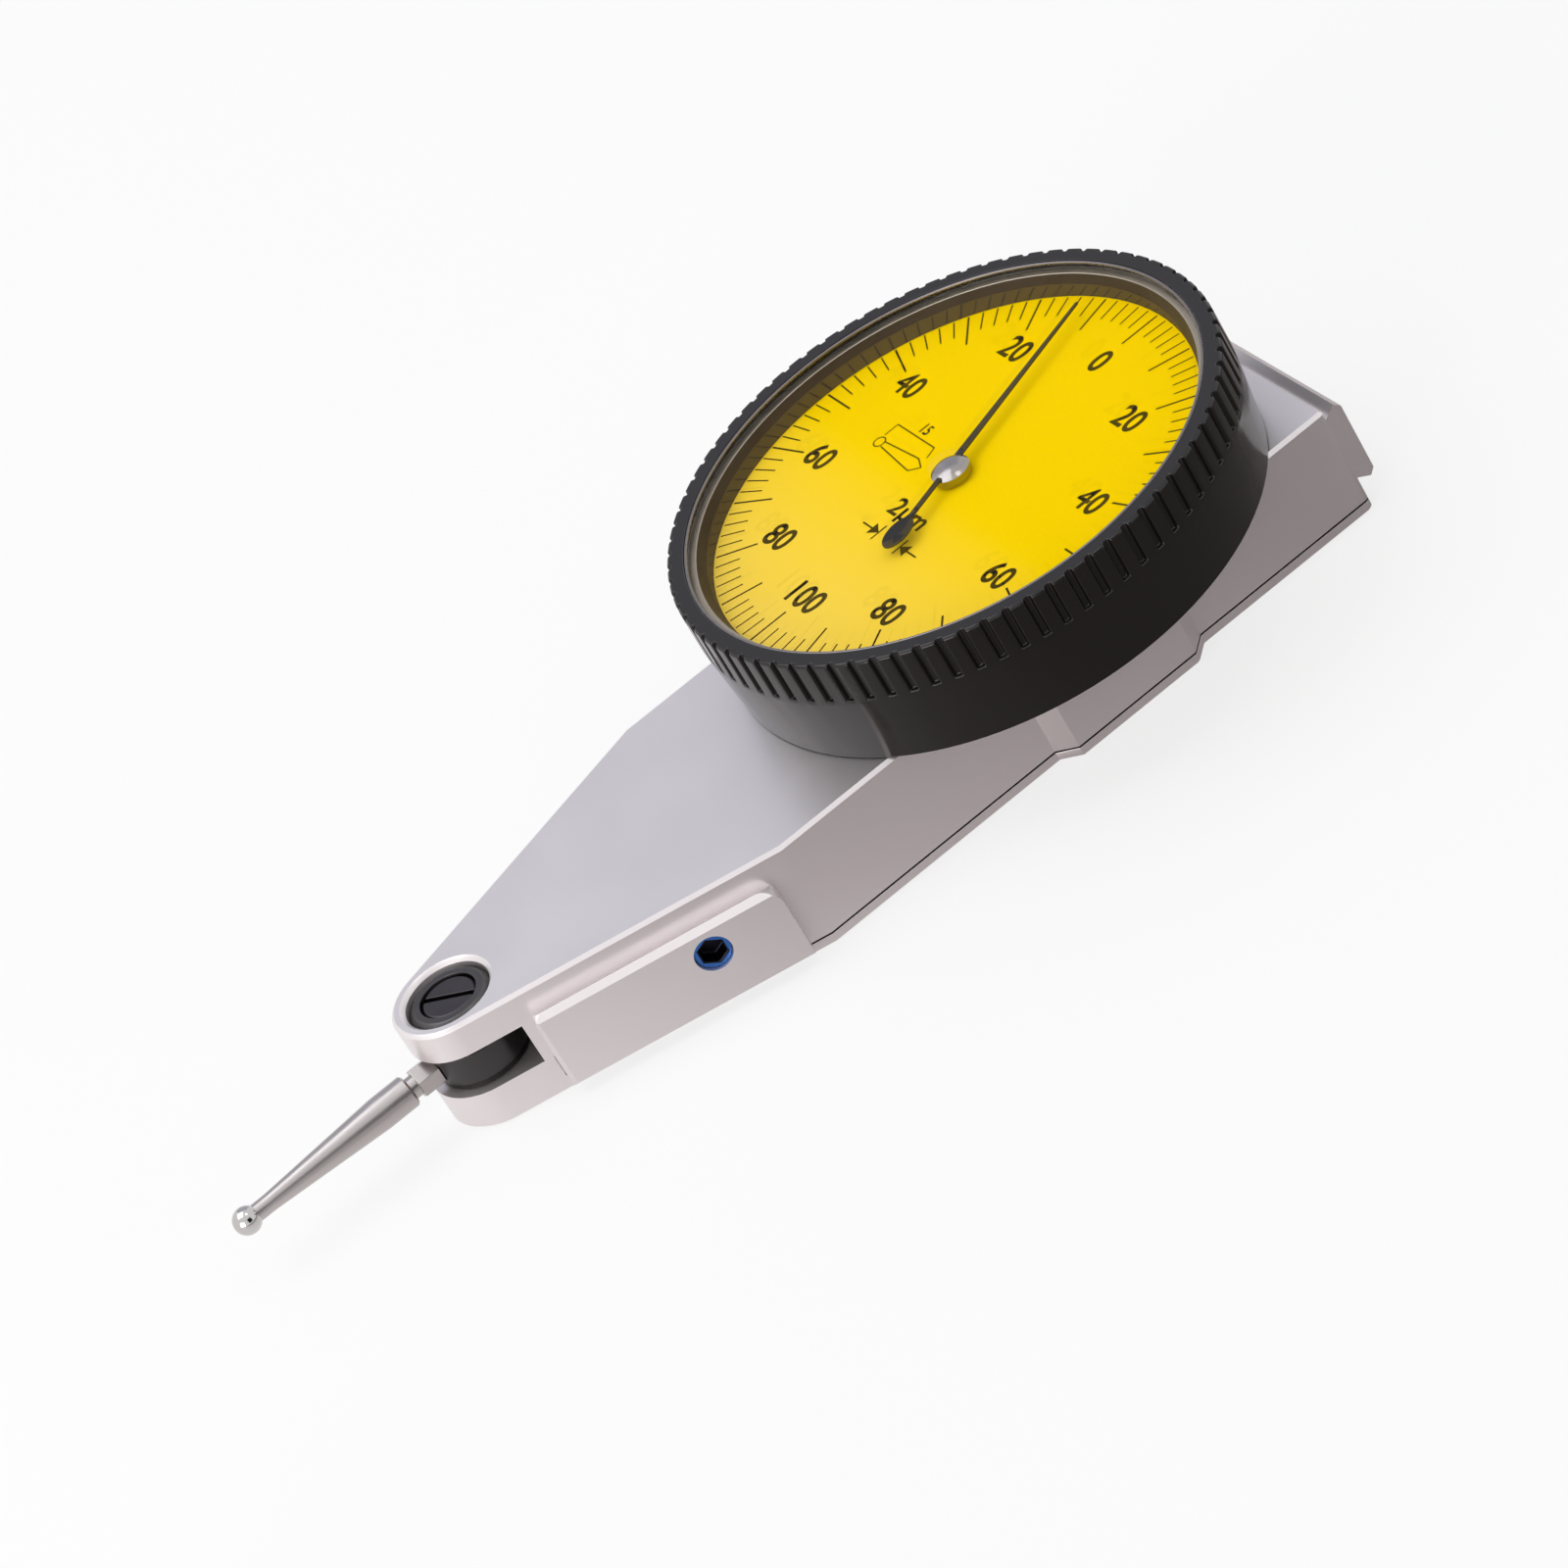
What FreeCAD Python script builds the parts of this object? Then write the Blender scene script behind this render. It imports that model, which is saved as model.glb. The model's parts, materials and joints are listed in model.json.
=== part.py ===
import FreeCAD, Part
import math
import os

# Dial test indicator. The origin is on the dial's axis, at the bottom of the back cover.
# +Z points out of the dial and -X towards the stylus. All sizes are in millimetres.

os.makedirs("parts", exist_ok=True)
Vector = FreeCAD.Vector
UP = Vector(0, 0, 1)
SIDEWAYS = Vector(0, 1, 0)
FORWARD = Vector(1, 0, 0)
ORIGIN = Vector(0, 0, 0)
quarter_turn = 90.0
full_turn = 360.0
hexagon_sides = 6
sharp_offset_corners = 2
tiny = 1e-6
far = 100.0

# Body, seen from above: a round nose, a taper and a straight rear with a pad on each side
pivot_x = -46.9
nose_radius = 4.05
body_half_width = 11.0
taper_end_x = -25.4
rear_wall_x = 20.75
rear_corner_radius = 0.4
pad_front_x = -5.2
pad_rear_x = 4.8
pad_height = 1.25

# Body, seen from the side
body_height = 8.7
body_edge_chamfer = 0.25
cover_thickness = 0.95
cover_front_from_pivot = 6.7
cover_front_gap = 0.05
parting_groove_height = 0.14
parting_groove_depth = 0.3
side_wall = 2.0
roof_thickness = 1.4
cavity_front_from_cover = 0.6
rear_wall = 2.15

# Fork and its slot, placed so that the ears share what the slot leaves of the body's height
slot_height = 3.3
lower_ear_share = 0.546
slot_radius = 5.37

# Dovetail rails
rail_width = 6.3
rail_height = 1.3
rail_flank_angle = 30.0
rail_lip_chamfer = 0.42
rail_root_depth = 0.5
side_rail_bottom = 0.75
side_rail_front = 19.4
side_rail_rear = 1.5
side_rail_rear_corner = 1.4
side_rail_front_corner = 0.9
side_rail_front_bevel = 0.3
side_relief_width = 0.25
side_relief_depth = 0.35
side_relief_bottom = 1.1
rear_rail_bottom = 2.15
rear_rail_end_inset = 0.15

# Recessed screw in the side rail
side_screw_from_corner = 7.1
side_screw_z = 4.87
side_screw_radius = 1.3
side_screw_recess = 0.25
side_screw_length = 2.4
side_socket_radius = 0.95
side_socket_depth = 1.1

# Dial opening and the widths that follow outwards from it
opening_radius = 17.55
opening_flare = 0.55
dial_ledge_width = 0.75
crystal_ledge_width = 1.2
skirt_wall = 1.15
skirt_flare = 0.5

# Dial housing on top of the body
housing_gap = 0.4
housing_neck_step = 0.9
housing_neck_inset = 0.3
flange_thickness = 1.75
spigot_height = 0.7

# Bezel
bezel_top = 17.53
bezel_rim_chamfer = 0.15
skirt_bottom_gap = 0.1
taper_start_below_knurl = 0.35
bezel_running_clearance = 0.05
knurl_count = 80
knurl_phase = 3.0
knurl_length = 3.18
knurl_depth = 0.35
knurl_outer_width = 0.62
knurl_floor_width = 0.36

# Crystal and the ring that holds it
crystal_seat_depth = 0.63
crystal_thickness = 0.4
crystal_edge_clearance = 0.03
crystal_ring_thickness = 0.2
crystal_ring_width = 0.2

# Dial plate and the keys that hold it
dial_face_z = 15.3
dial_thickness = 0.4
dial_edge_clearance = 0.03
dial_hole_radius = 0.95
key_count = 3
key_phase = 60.0
key_width = 2.4
key_depth = 0.9
key_thickness = 0.5

# Ring pressed on the housing, which keeps the bezel on its seat
press_ring_height = 0.7
press_ring_width = 0.8
press_ring_edge_gap = 0.05
press_ring_gap = 0.05

# Hand
hand_angle = 21.5
hand_to_rim = 1.55
hand_thickness = 0.12
hand_z = 16.15
hand_root_radius = 0.3
hand_tip_radius = 0.11
hand_tail_radius = 0.2
counterweight_distance = 6.25
counterweight_half_length = 1.45
counterweight_half_width = 0.9
hub_radius = 1.38
hub_bottom = 15.55
hub_top = 16.58
hub_dome = 0.5

# Pivot of the stylus
lock_ring_radius = 3.0
lock_ring_hole_clearance = 0.08
lock_ring_recess = 0.3
lock_ring_thickness = 1.0
lock_ring_bevel = 0.45
pivot_screw_radius = 2.0
pivot_screw_clearance = 0.05
pivot_screw_recess = 0.4
screw_slot_width = 0.4
screw_slot_depth = 0.45
upper_screw_bevel = 0.2
upper_screw_slot_turn = -45.0
pivot_hole_chamfer = 0.3
lower_screw_head_radius = 2.6
lower_screw_head_height = 0.8
lower_screw_recess = 0.2
pivot_shaft_radius = 1.0
journal_radius = 0.6
journal_length = 0.75
running_clearance = 0.02

# Friction clutch, drum and stylus
cheek_gap = 0.1
cheek_thickness = 0.4
cheek_radius = 3.3
axial_play = 0.02
drum_radius = 3.4
drum_bore_clearance = 0.03
drum_flat_depth = 0.1
washer_radius = 3.1
washer_thickness = 0.25
washer_gap = 0.29
stylus_above_slot_floor = 1.5
stylus_length = 19.05
ball_radius = 1.0
tip_radius = 0.64
tip_length = 1.9
shank_radius = 1.17
shank_length = 2.55
shank_edge_chamfer = 0.15
neck_radius = 0.78
neck_length = 0.55
collar_length = 1.65
collar_across_flats = 2.0
stud_radius = 0.75
stud_length = 2.0
stud_clearance = 0.03

# Lever and gear train
lever_arm_thickness = 0.6
lever_arm_root_radius = 1.5
lever_arm_end_radius = 0.95
lever_window_half_width = 1.9
lever_window_gap = 0.2
sector_teeth = 600
sector_cut_teeth = 11
sector_thickness = 0.5
sector_depth = 4.4
rivet_radius = 0.35
rivet_from_teeth = 1.9
rivet_spacing = 1.5
intermediate_x = -8.0
intermediate_pinion_teeth = 8
intermediate_pinion_overhang = 0.25
wheel_teeth = 64
wheel_thickness = 0.4
wheel_above_sector = 0.85
wheel_seat_radius = 1.5
wheel_seat_height = 0.3
centre_pinion_teeth = 8
centre_pinion_overhang = 0.25
pressure_angle = 20.0
tooth_root_depth = 1.25
tooth_backlash = 0.035
arbor_radius = 0.35
centre_arbor_radius = 0.4
pivot_radius = 0.2
upper_pivot_length = 0.5

# Bridge, bearings and hairspring
bridge_bottom = 1.4
bridge_thickness = 0.8
bridge_arm_radius = 1.3
jewel_radius = 0.9
jewel_thickness = 0.5
centre_jewel_radius = 1.1
arbor_hole_radius = 0.7
jewel_hole_clearance = 0.02
bridge_pillar_radius = 1.3
bridge_pillar_wall_gap = 0.5
bridge_pillar_wheel_gap = 0.4
bridge_rear_pillar_x = 6.0
bridge_screw_head_radius = 0.95
bridge_screw_head_height = 0.35
bridge_screw_radius = 0.5
bridge_screw_length = 2.4
screw_hole_clearance = 0.03
cover_pillar_radius = 1.6
cover_pillar_sink = 0.2
cover_pillar_from_cavity = 5.6
cover_screw_head_radius = 1.2
cover_screw_radius = 0.6
cover_screw_length = 3.2
cover_screw_slot_depth = 0.25
cover_screw_slot_width = 0.3
cover_screw_slot_turn = 40.0
collet_radius = 0.95
collet_bottom = 2.7
collet_height = 1.1
spring_half_turns = 7
spring_spacing = 0.4
spring_strip = 0.1
spring_height = 0.4
spring_gap = 0.04
spring_stud_half_width = 0.33
spring_stud_length = 0.9
spring_stud_rise = 0.3

# Places worked out from the sizes above
taper_run = taper_end_x - pivot_x
taper_angle = math.acos(nose_radius / math.hypot(taper_run, body_half_width)) - math.atan2(
    taper_run, body_half_width
)
slot_bottom = (body_height - slot_height) * lower_ear_share
slot_top = slot_bottom + slot_height
cover_front_x = pivot_x + cover_front_from_pivot
cavity_front_x = cover_front_x + cavity_front_from_cover
cavity_rear_x = rear_wall_x - rear_wall
cavity_top = body_height - roof_thickness
seat_radius = opening_radius + dial_ledge_width
bezel_inner_radius = seat_radius + bezel_running_clearance
skirt_bottom_radius = bezel_inner_radius + skirt_wall
bezel_radius = skirt_bottom_radius + skirt_flare
crystal_seat_radius = opening_radius + crystal_ledge_width
flange_bottom = body_height + housing_gap
flange_top = flange_bottom + flange_thickness
housing_top = flange_top + spigot_height
press_ring_radius = bezel_inner_radius + press_ring_width / 2
spigot_radius = press_ring_radius - press_ring_width
bezel_bore_radius = press_ring_radius + press_ring_edge_gap
knurl_bottom = bezel_top - knurl_length
crystal_seat_z = bezel_top - crystal_seat_depth
hand_length = opening_radius - hand_to_rim
lever_bottom = slot_bottom + cheek_gap
cheek_top = lever_bottom + cheek_thickness
lever_top = lever_bottom + lever_arm_thickness
drum_bottom = cheek_top + axial_play
drum_top = slot_top - washer_gap - washer_thickness - axial_play
stylus_z = slot_bottom + stylus_above_slot_floor
sector_top = lever_top + sector_thickness
first_module = 2 * (intermediate_x - pivot_x) / (sector_teeth + intermediate_pinion_teeth)
second_module = -2 * intermediate_x / (wheel_teeth + centre_pinion_teeth)
sector_radius = first_module * sector_teeth / 2
wheel_tip_radius = second_module * (wheel_teeth / 2 + 1)
bridge_top = bridge_bottom + bridge_thickness
wheel_z = sector_top + wheel_above_sector
wheel_top = wheel_z + wheel_thickness
stylus_tip_x = pivot_x - stylus_length


def disc(radius, bottom, top, x=0.0, y=0.0):
    """An upright cylinder."""
    return Part.makeCylinder(radius, top - bottom, Vector(x, y, bottom), UP)


def ring(outer, inner, bottom, top, x=0.0, y=0.0):
    """An upright tube."""
    return disc(outer, bottom, top, x, y).cut(disc(inner, bottom, top, x, y))


def block(low, high):
    """A box between two opposite corners."""
    size = Vector(*high) - Vector(*low)
    return Part.makeBox(size.x, size.y, size.z, Vector(*low))


def prism(points, bottom, top):
    """An upright prism on a closed outline of x, y points."""
    corners = [Vector(x, y, bottom) for x, y in points]
    face = Part.Face(Part.makePolygon(corners + corners[:1]))
    return face.extrude(UP * (top - bottom))


def turned(profile):
    """A body of revolution about the dial's axis, from radius and height points."""
    corners = [Vector(r, 0, z) for r, z in profile]
    face = Part.Face(Part.makePolygon(corners + corners[:1]))
    return face.revolve(ORIGIN, UP, full_turn)


def hexagon(corner, length):
    """A hexagonal bar along +X, starting at x = 0."""
    angles = [math.radians(full_turn * k / hexagon_sides) for k in range(hexagon_sides)]
    bar = prism([(corner * math.cos(a), corner * math.sin(a)) for a in angles], 0, length)
    bar.rotate(ORIGIN, SIDEWAYS, quarter_turn)
    return bar


def joined(shapes):
    """One solid out of shapes that meet."""
    return shapes[0].multiFuse(shapes[1:]).removeSplitter()


def link(start, end, start_radius, end_radius, bottom, top):
    """A flat bar with round ends, tapered between two discs."""
    p = Vector(start[0], start[1], bottom)
    q = Vector(end[0], end[1], bottom)
    along = (q - p).normalize()
    across = UP.cross(along)
    lean = math.acos((start_radius - end_radius) / (q - p).Length)

    def rim(centre, radius, side):
        return centre + (along * math.cos(lean) + across * side * math.sin(lean)) * radius

    back = p - along * start_radius
    front = q + along * end_radius
    edges = [
        Part.Arc(rim(p, start_radius, 1), back, rim(p, start_radius, -1)).toShape(),
        Part.LineSegment(rim(p, start_radius, -1), rim(q, end_radius, -1)).toShape(),
        Part.Arc(rim(q, end_radius, -1), front, rim(q, end_radius, 1)).toShape(),
        Part.LineSegment(rim(q, end_radius, 1), rim(p, start_radius, 1)).toShape(),
    ]
    return Part.Face(Part.Wire(edges)).extrude(UP * (top - bottom))


def mirrored(places):
    """Each x, y place, and the same place on the other side."""
    return [(x, side * y) for x, y in places for side in (-1, 1)]


def edges_at(shape, **place):
    """The edges whose ends all lie at the given x, y or z."""

    def fits(vertex):
        found = {"x": vertex.X, "y": vertex.Y, "z": vertex.Z}
        return all(abs(found[axis] - value) < tiny for axis, value in place.items())

    return [edge for edge in shape.Edges if all(fits(vertex) for vertex in edge.Vertexes)]


def save(name, shapes):
    """Writes one node, made of one or more solids."""
    shape = shapes[0] if len(shapes) == 1 else Part.makeCompound(shapes)
    shape.exportStep("parts/" + name + ".step")


def outline(inset, pads):
    """The body's outline seen from above, drawn in by an inset, with or without its pads."""
    side = [(taper_end_x, body_half_width)]
    if pads:
        pad_width = body_half_width + pad_height
        side += [
            (pad_front_x - pad_height, body_half_width),
            (pad_front_x, pad_width),
            (pad_rear_x, pad_width),
            (pad_rear_x + pad_height, body_half_width),
        ]
    side += [(rear_wall_x, body_half_width)]
    tangent = Vector(
        pivot_x - nose_radius * math.sin(taper_angle), nose_radius * math.cos(taper_angle), 0
    )
    upper = [tangent] + [Vector(x, y, 0) for x, y in side]
    lower = [Vector(point.x, -point.y, 0) for point in reversed(upper)]
    nose = Part.Arc(lower[-1], Vector(pivot_x - nose_radius, 0, 0), upper[0]).toShape()
    sides = Part.makePolygon(upper + lower).Edges
    face = Part.Face(Part.Wire([nose] + sides))
    return face.makeOffset2D(-inset, sharp_offset_corners) if inset else face


def outline_prism(inset, bottom, top, pads=True):
    """The outline, raised from one height to another."""
    face = outline(inset, pads)
    face.translate(UP * bottom)
    return face.extrude(UP * (top - bottom))


def body_blank():
    """The case and its cover in one, with the outer edges broken."""
    blank = outline_prism(0, 0, body_height)
    corners = [
        edge
        for edge in blank.Edges
        if all(abs(v.X - rear_wall_x) < tiny for v in edge.Vertexes)
        and abs(edge.Vertexes[0].Y - edge.Vertexes[-1].Y) < tiny
    ]
    blank = blank.makeFillet(rear_corner_radius, corners)
    rims = [edge for edge in blank.Edges if edge.BoundBox.ZLength < tiny]
    return blank.makeChamfer(body_edge_chamfer, rims)


def cover_space(front_x):
    """The room of the back cover, behind a line across the body."""
    return block((front_x, -far, -far), (far, far, cover_thickness))


def dovetail_rail(length):
    """A dovetail along Y, its root at x = 0 and its lower lip at z = 0."""
    shoulder = rail_height - rail_lip_chamfer
    flank = shoulder * math.tan(math.radians(rail_flank_angle))
    half = [
        (-rail_root_depth, flank),
        (0, flank),
        (shoulder, 0),
        (rail_height, rail_lip_chamfer),
    ]
    profile = half + [(x, rail_width - z) for x, z in reversed(half)]
    corners = [Vector(x, 0, z) for x, z in profile]
    face = Part.Face(Part.makePolygon(corners + corners[:1]))
    return face.extrude(Vector(0, length, 0))


def side_rail():
    """The rail on the tapered side towards -Y, with its upper corners rounded."""
    length = side_rail_front - side_rail_rear
    frame = block((-rail_root_depth, 0, 0), (rail_height, length, rail_width))
    for y, radius in ((0, side_rail_front_corner), (length, side_rail_rear_corner)):
        frame = frame.makeFillet(radius, edges_at(frame, y=y, z=rail_width))
    rail = dovetail_rail(length).common(frame)
    bevel = block((0, -far, -far), (far, 0, far))
    bevel.rotate(ORIGIN, UP, -quarter_turn / 2)
    bevel.translate(Vector(rail_height, side_rail_front_bevel, 0))
    return on_taper(rail.cut(bevel), side_rail_front, side_rail_bottom)


def on_taper(shape, from_corner, z):
    """Sets a shape made along X and Y on the tapered side towards -Y."""
    shape.rotate(ORIGIN, UP, -quarter_turn - math.degrees(taper_angle))
    along = Vector(math.cos(taper_angle), -math.sin(taper_angle), 0)
    start = Vector(taper_end_x, -body_half_width, z) - along * from_corner
    shape.translate(start)
    return shape


def other_side(shape):
    """The same shape on the other side of the body."""
    return shape.mirror(ORIGIN, SIDEWAYS)


def side_relief():
    """The thin slit between the lower ear and the front of the side rail."""
    height = slot_bottom - side_relief_bottom
    slit = block((-side_relief_depth, 0, 0), (far, side_relief_width, height))
    return on_taper(slit, side_rail_front + side_relief_width, side_relief_bottom)


def side_screw_bore(radius, outer, inner):
    """A cylinder square to the tapered side, between two heights over its wall."""
    rod = Part.makeCylinder(radius, outer - inner, Vector(inner, 0, 0), FORWARD)
    return on_taper(rod, side_screw_from_corner, side_screw_z)


def rear_rail():
    """The rail across the rear wall."""
    end = body_half_width - rear_rail_end_inset
    rail = dovetail_rail(2 * end)
    rail.translate(Vector(rear_wall_x, -end, rear_rail_bottom))
    return rail


def dial_housing():
    """The round seat of the bezel on its neck, with a spigot for the pressed ring."""
    neck_radius = seat_radius - housing_neck_step
    neck = outline_prism(housing_neck_inset, cavity_top, flange_bottom, pads=False).common(
        disc(neck_radius, cavity_top, flange_bottom)
    )
    flange = disc(seat_radius, flange_bottom, flange_top)
    spigot = disc(spigot_radius, flange_top, housing_top)
    return [neck, flange, spigot]


def cavity():
    """The hollow for the lever and the gear train, open towards the cover."""
    room = outline_prism(side_wall, cover_thickness, cavity_top, pads=False)
    length = block((cavity_front_x, -far, -far), (cavity_rear_x, far, far))
    window = block(
        (pivot_x + slot_radius - side_wall, -lever_window_half_width, slot_bottom),
        (cavity_front_x + side_wall, lever_window_half_width, lever_top + lever_window_gap),
    )
    return [room.common(length), window]


def half_width_at(x):
    """Half the body's width at a place on its taper."""
    return body_half_width - (taper_end_x - x) * math.tan(taper_angle)


def cover_screw_places():
    """Where the back cover's screws stand, their posts grown into the side walls."""
    reach = cover_pillar_radius - cover_pillar_sink
    front_x = cavity_front_x + cover_pillar_from_cavity
    front_y = half_width_at(front_x) - side_wall / math.cos(taper_angle) - reach
    rear_y = body_half_width - side_wall - reach
    return mirrored([(front_x, front_y), (cavity_rear_x - reach, rear_y)])


def bridge_screw_places():
    """Where the bridge's two screws stand, clear of the wheel and of the side walls."""
    y = body_half_width - side_wall - bridge_pillar_radius - bridge_pillar_wall_gap
    from_wheel = wheel_tip_radius + bridge_pillar_radius + bridge_pillar_wheel_gap
    return [(intermediate_x - from_wheel, y), (bridge_rear_pillar_x, -y)]


def pillars():
    """The posts that take the screws of the cover and of the bridge."""
    posts = [
        disc(cover_pillar_radius, cover_thickness, cavity_top, x, y)
        for x, y in cover_screw_places()
    ]
    posts += [
        disc(bridge_pillar_radius, bridge_top, cavity_top, x, y)
        for x, y in bridge_screw_places()
    ]
    return posts


def screw_holes():
    """The threaded holes in the posts."""
    cover_hole = cover_screw_radius + screw_hole_clearance
    bridge_hole = bridge_screw_radius + screw_hole_clearance
    cover_hole_top = cover_screw_length + screw_hole_clearance
    bridge_hole_top = bridge_bottom + bridge_screw_length + screw_hole_clearance
    holes = [disc(cover_hole, 0, cover_hole_top, x, y) for x, y in cover_screw_places()]
    holes += [
        disc(bridge_hole, bridge_bottom, bridge_hole_top, x, y)
        for x, y in bridge_screw_places()
    ]
    return holes


def pivot_bores():
    """The holes through both ears, and the broken edge round the upper one."""
    ring_hole = lock_ring_radius + lock_ring_hole_clearance
    ring_floor = body_height - lock_ring_recess - lock_ring_thickness
    screw_hole = pivot_screw_radius + pivot_screw_clearance
    head_hole = lower_screw_head_radius + lock_ring_hole_clearance
    head_top = lower_screw_recess + lower_screw_head_height
    rim = Part.makeCone(
        ring_hole,
        ring_hole + pivot_hole_chamfer,
        pivot_hole_chamfer,
        Vector(pivot_x, 0, body_height - pivot_hole_chamfer),
    )
    return [
        disc(ring_hole, ring_floor, body_height, pivot_x),
        disc(screw_hole, slot_bottom, ring_floor, pivot_x),
        disc(head_hole, 0, head_top, pivot_x),
        disc(screw_hole, head_top, slot_bottom, pivot_x),
        rim,
    ]


def body_case():
    """The tapered case with its fork, rails, pads and dial housing."""
    case = body_blank().cut(cover_space(cover_front_x))
    case = case.cut(cavity() + [disc(slot_radius, slot_bottom, slot_top, pivot_x)])
    rail = side_rail()
    case = joined([case, rail, other_side(rail), rear_rail()] + dial_housing() + pillars())
    relief = side_relief()
    centre_hole = disc(arbor_hole_radius, 0, housing_top)
    centre_seat = disc(centre_jewel_radius, housing_top - jewel_thickness, housing_top)
    upper_seat = disc(jewel_radius, 0, cavity_top + jewel_thickness, intermediate_x)
    screw_hole = side_screw_bore(side_screw_radius + axial_play, far, -side_wall - rail_height)
    cutters = [relief, other_side(relief), centre_hole, centre_seat, upper_seat]
    return case.cut(cutters + [screw_hole] + pivot_bores() + screw_holes())


def back_cover():
    """The plate that closes the case, with a fine groove round its upper edge."""
    cover = body_blank().common(cover_space(cover_front_x + cover_front_gap))
    groove_bottom = cover_thickness - parting_groove_height
    edge = outline_prism(0, groove_bottom, cover_thickness).cut(
        outline_prism(parting_groove_depth, groove_bottom, cover_thickness)
    )
    hole = cover_screw_radius + screw_hole_clearance
    head = cover_screw_head_radius
    sink = head - cover_screw_radius
    cutters = [edge]
    for x, y in cover_screw_places():
        cutters.append(disc(hole, 0, cover_thickness, x, y))
        cutters.append(Part.makeCone(head, cover_screw_radius, sink, Vector(x, y, 0)))
    return cover.cut(cutters)


def driver_slot(x, y, width, bottom, top, turn=0.0):
    """The slot across a screw's head."""
    slot = block((-far, -width / 2, bottom), (far, width / 2, top))
    slot.rotate(ORIGIN, UP, turn)
    slot.translate(Vector(x, y, 0))
    return slot


def cover_screws():
    """Countersunk screws, flush with the back cover."""
    sink = cover_screw_head_radius - cover_screw_radius
    screws = []
    for k, (x, y) in enumerate(cover_screw_places()):
        head = Part.makeCone(cover_screw_head_radius, cover_screw_radius, sink, Vector(x, y, 0))
        shank = disc(cover_screw_radius, sink, cover_screw_length, x, y)
        turn = k * cover_screw_slot_turn
        slot = driver_slot(x, y, cover_screw_slot_width, 0, cover_screw_slot_depth, turn)
        screws.append(joined([head, shank]).cut(slot))
    return screws


def side_set_screw():
    """The recessed screw in the side rail, with a hexagon socket."""
    outer = rail_height - side_screw_recess
    screw = side_screw_bore(side_screw_radius, outer, outer - side_screw_length)
    socket = hexagon(side_socket_radius, side_socket_depth)
    socket.translate(FORWARD * (outer - side_socket_depth))
    return screw.cut(on_taper(socket, side_screw_from_corner, side_screw_z))


def pivot_lock_ring():
    """The ring that locks the upper pivot screw."""
    top = body_height - lock_ring_recess
    bottom = top - lock_ring_thickness
    bore = pivot_screw_radius + pivot_screw_clearance
    collar = turned(
        [
            (bore, bottom),
            (lock_ring_radius, bottom),
            (lock_ring_radius, top - lock_ring_bevel),
            (lock_ring_radius - lock_ring_bevel, top),
            (bore, top),
        ]
    )
    collar.translate(FORWARD * pivot_x)
    return collar


def journal_socket(bottom, top):
    """The bearing hole of a pivot screw."""
    return disc(journal_radius + running_clearance, bottom, top, pivot_x)


def upper_pivot_screw():
    """The slotted screw that carries the upper journal of the pivot shaft."""
    top = body_height - pivot_screw_recess
    screw = disc(pivot_screw_radius, slot_top + axial_play, top, pivot_x)
    screw = screw.makeChamfer(upper_screw_bevel, edges_at(screw, z=top))
    slot_floor = top - screw_slot_depth
    slot = driver_slot(pivot_x, 0, screw_slot_width, slot_floor, top, upper_screw_slot_turn)
    socket = journal_socket(slot_top, slot_top + journal_length + running_clearance)
    return screw.cut([slot, socket])


def lower_pivot_screw():
    """The headed screw that carries the lower journal of the pivot shaft."""
    head_top = lower_screw_recess + lower_screw_head_height
    head = disc(lower_screw_head_radius, lower_screw_recess, head_top, pivot_x)
    stem = disc(pivot_screw_radius, head_top, slot_bottom - axial_play, pivot_x)
    slot_roof = lower_screw_recess + screw_slot_depth
    slot = driver_slot(pivot_x, 0, screw_slot_width, lower_screw_recess, slot_roof)
    socket = journal_socket(slot_bottom - journal_length - running_clearance, slot_bottom)
    return joined([head, stem]).cut([slot, socket])


def pivot_shaft():
    """The shaft of lever and drum, with a journal at each end."""
    middle = disc(
        pivot_shaft_radius, slot_bottom + axial_play, slot_top - axial_play, pivot_x
    )
    journals = disc(
        journal_radius, slot_bottom - journal_length, slot_top + journal_length, pivot_x
    )
    return joined([middle, journals])


def clutch_washer():
    """The washer that presses the drum on the lever."""
    bottom = drum_top + axial_play
    return ring(washer_radius, pivot_shaft_radius, bottom, bottom + washer_thickness, pivot_x)


def stylus_drum():
    """The drum in the fork, with the cross hole for the stylus."""
    drum = disc(drum_radius, drum_bottom, drum_top, pivot_x)
    bore = disc(pivot_shaft_radius + drum_bore_clearance, drum_bottom, drum_top, pivot_x)
    seat_x = pivot_x - drum_radius + drum_flat_depth
    flat = block((-far, -far, drum_bottom), (seat_x, far, drum_top))
    hole = Part.makeCylinder(
        stud_radius + stud_clearance,
        stud_length + stud_clearance,
        Vector(seat_x, 0, stylus_z),
        FORWARD,
    )
    return drum.cut([bore, flat, hole])


def along_stylus(profile):
    """A body of revolution about the stylus, from distance and radius points."""
    corners = [Vector(stylus_tip_x + s, r, stylus_z) for s, r in profile]
    face = Part.Face(Part.makePolygon(corners + corners[:1]))
    return face.revolve(UP * stylus_z, FORWARD, full_turn)


def ball_flat():
    """How far the flat on the ball, where the shank meets it, lies from its centre."""
    return math.sqrt(ball_radius**2 - tip_radius**2)


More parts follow.
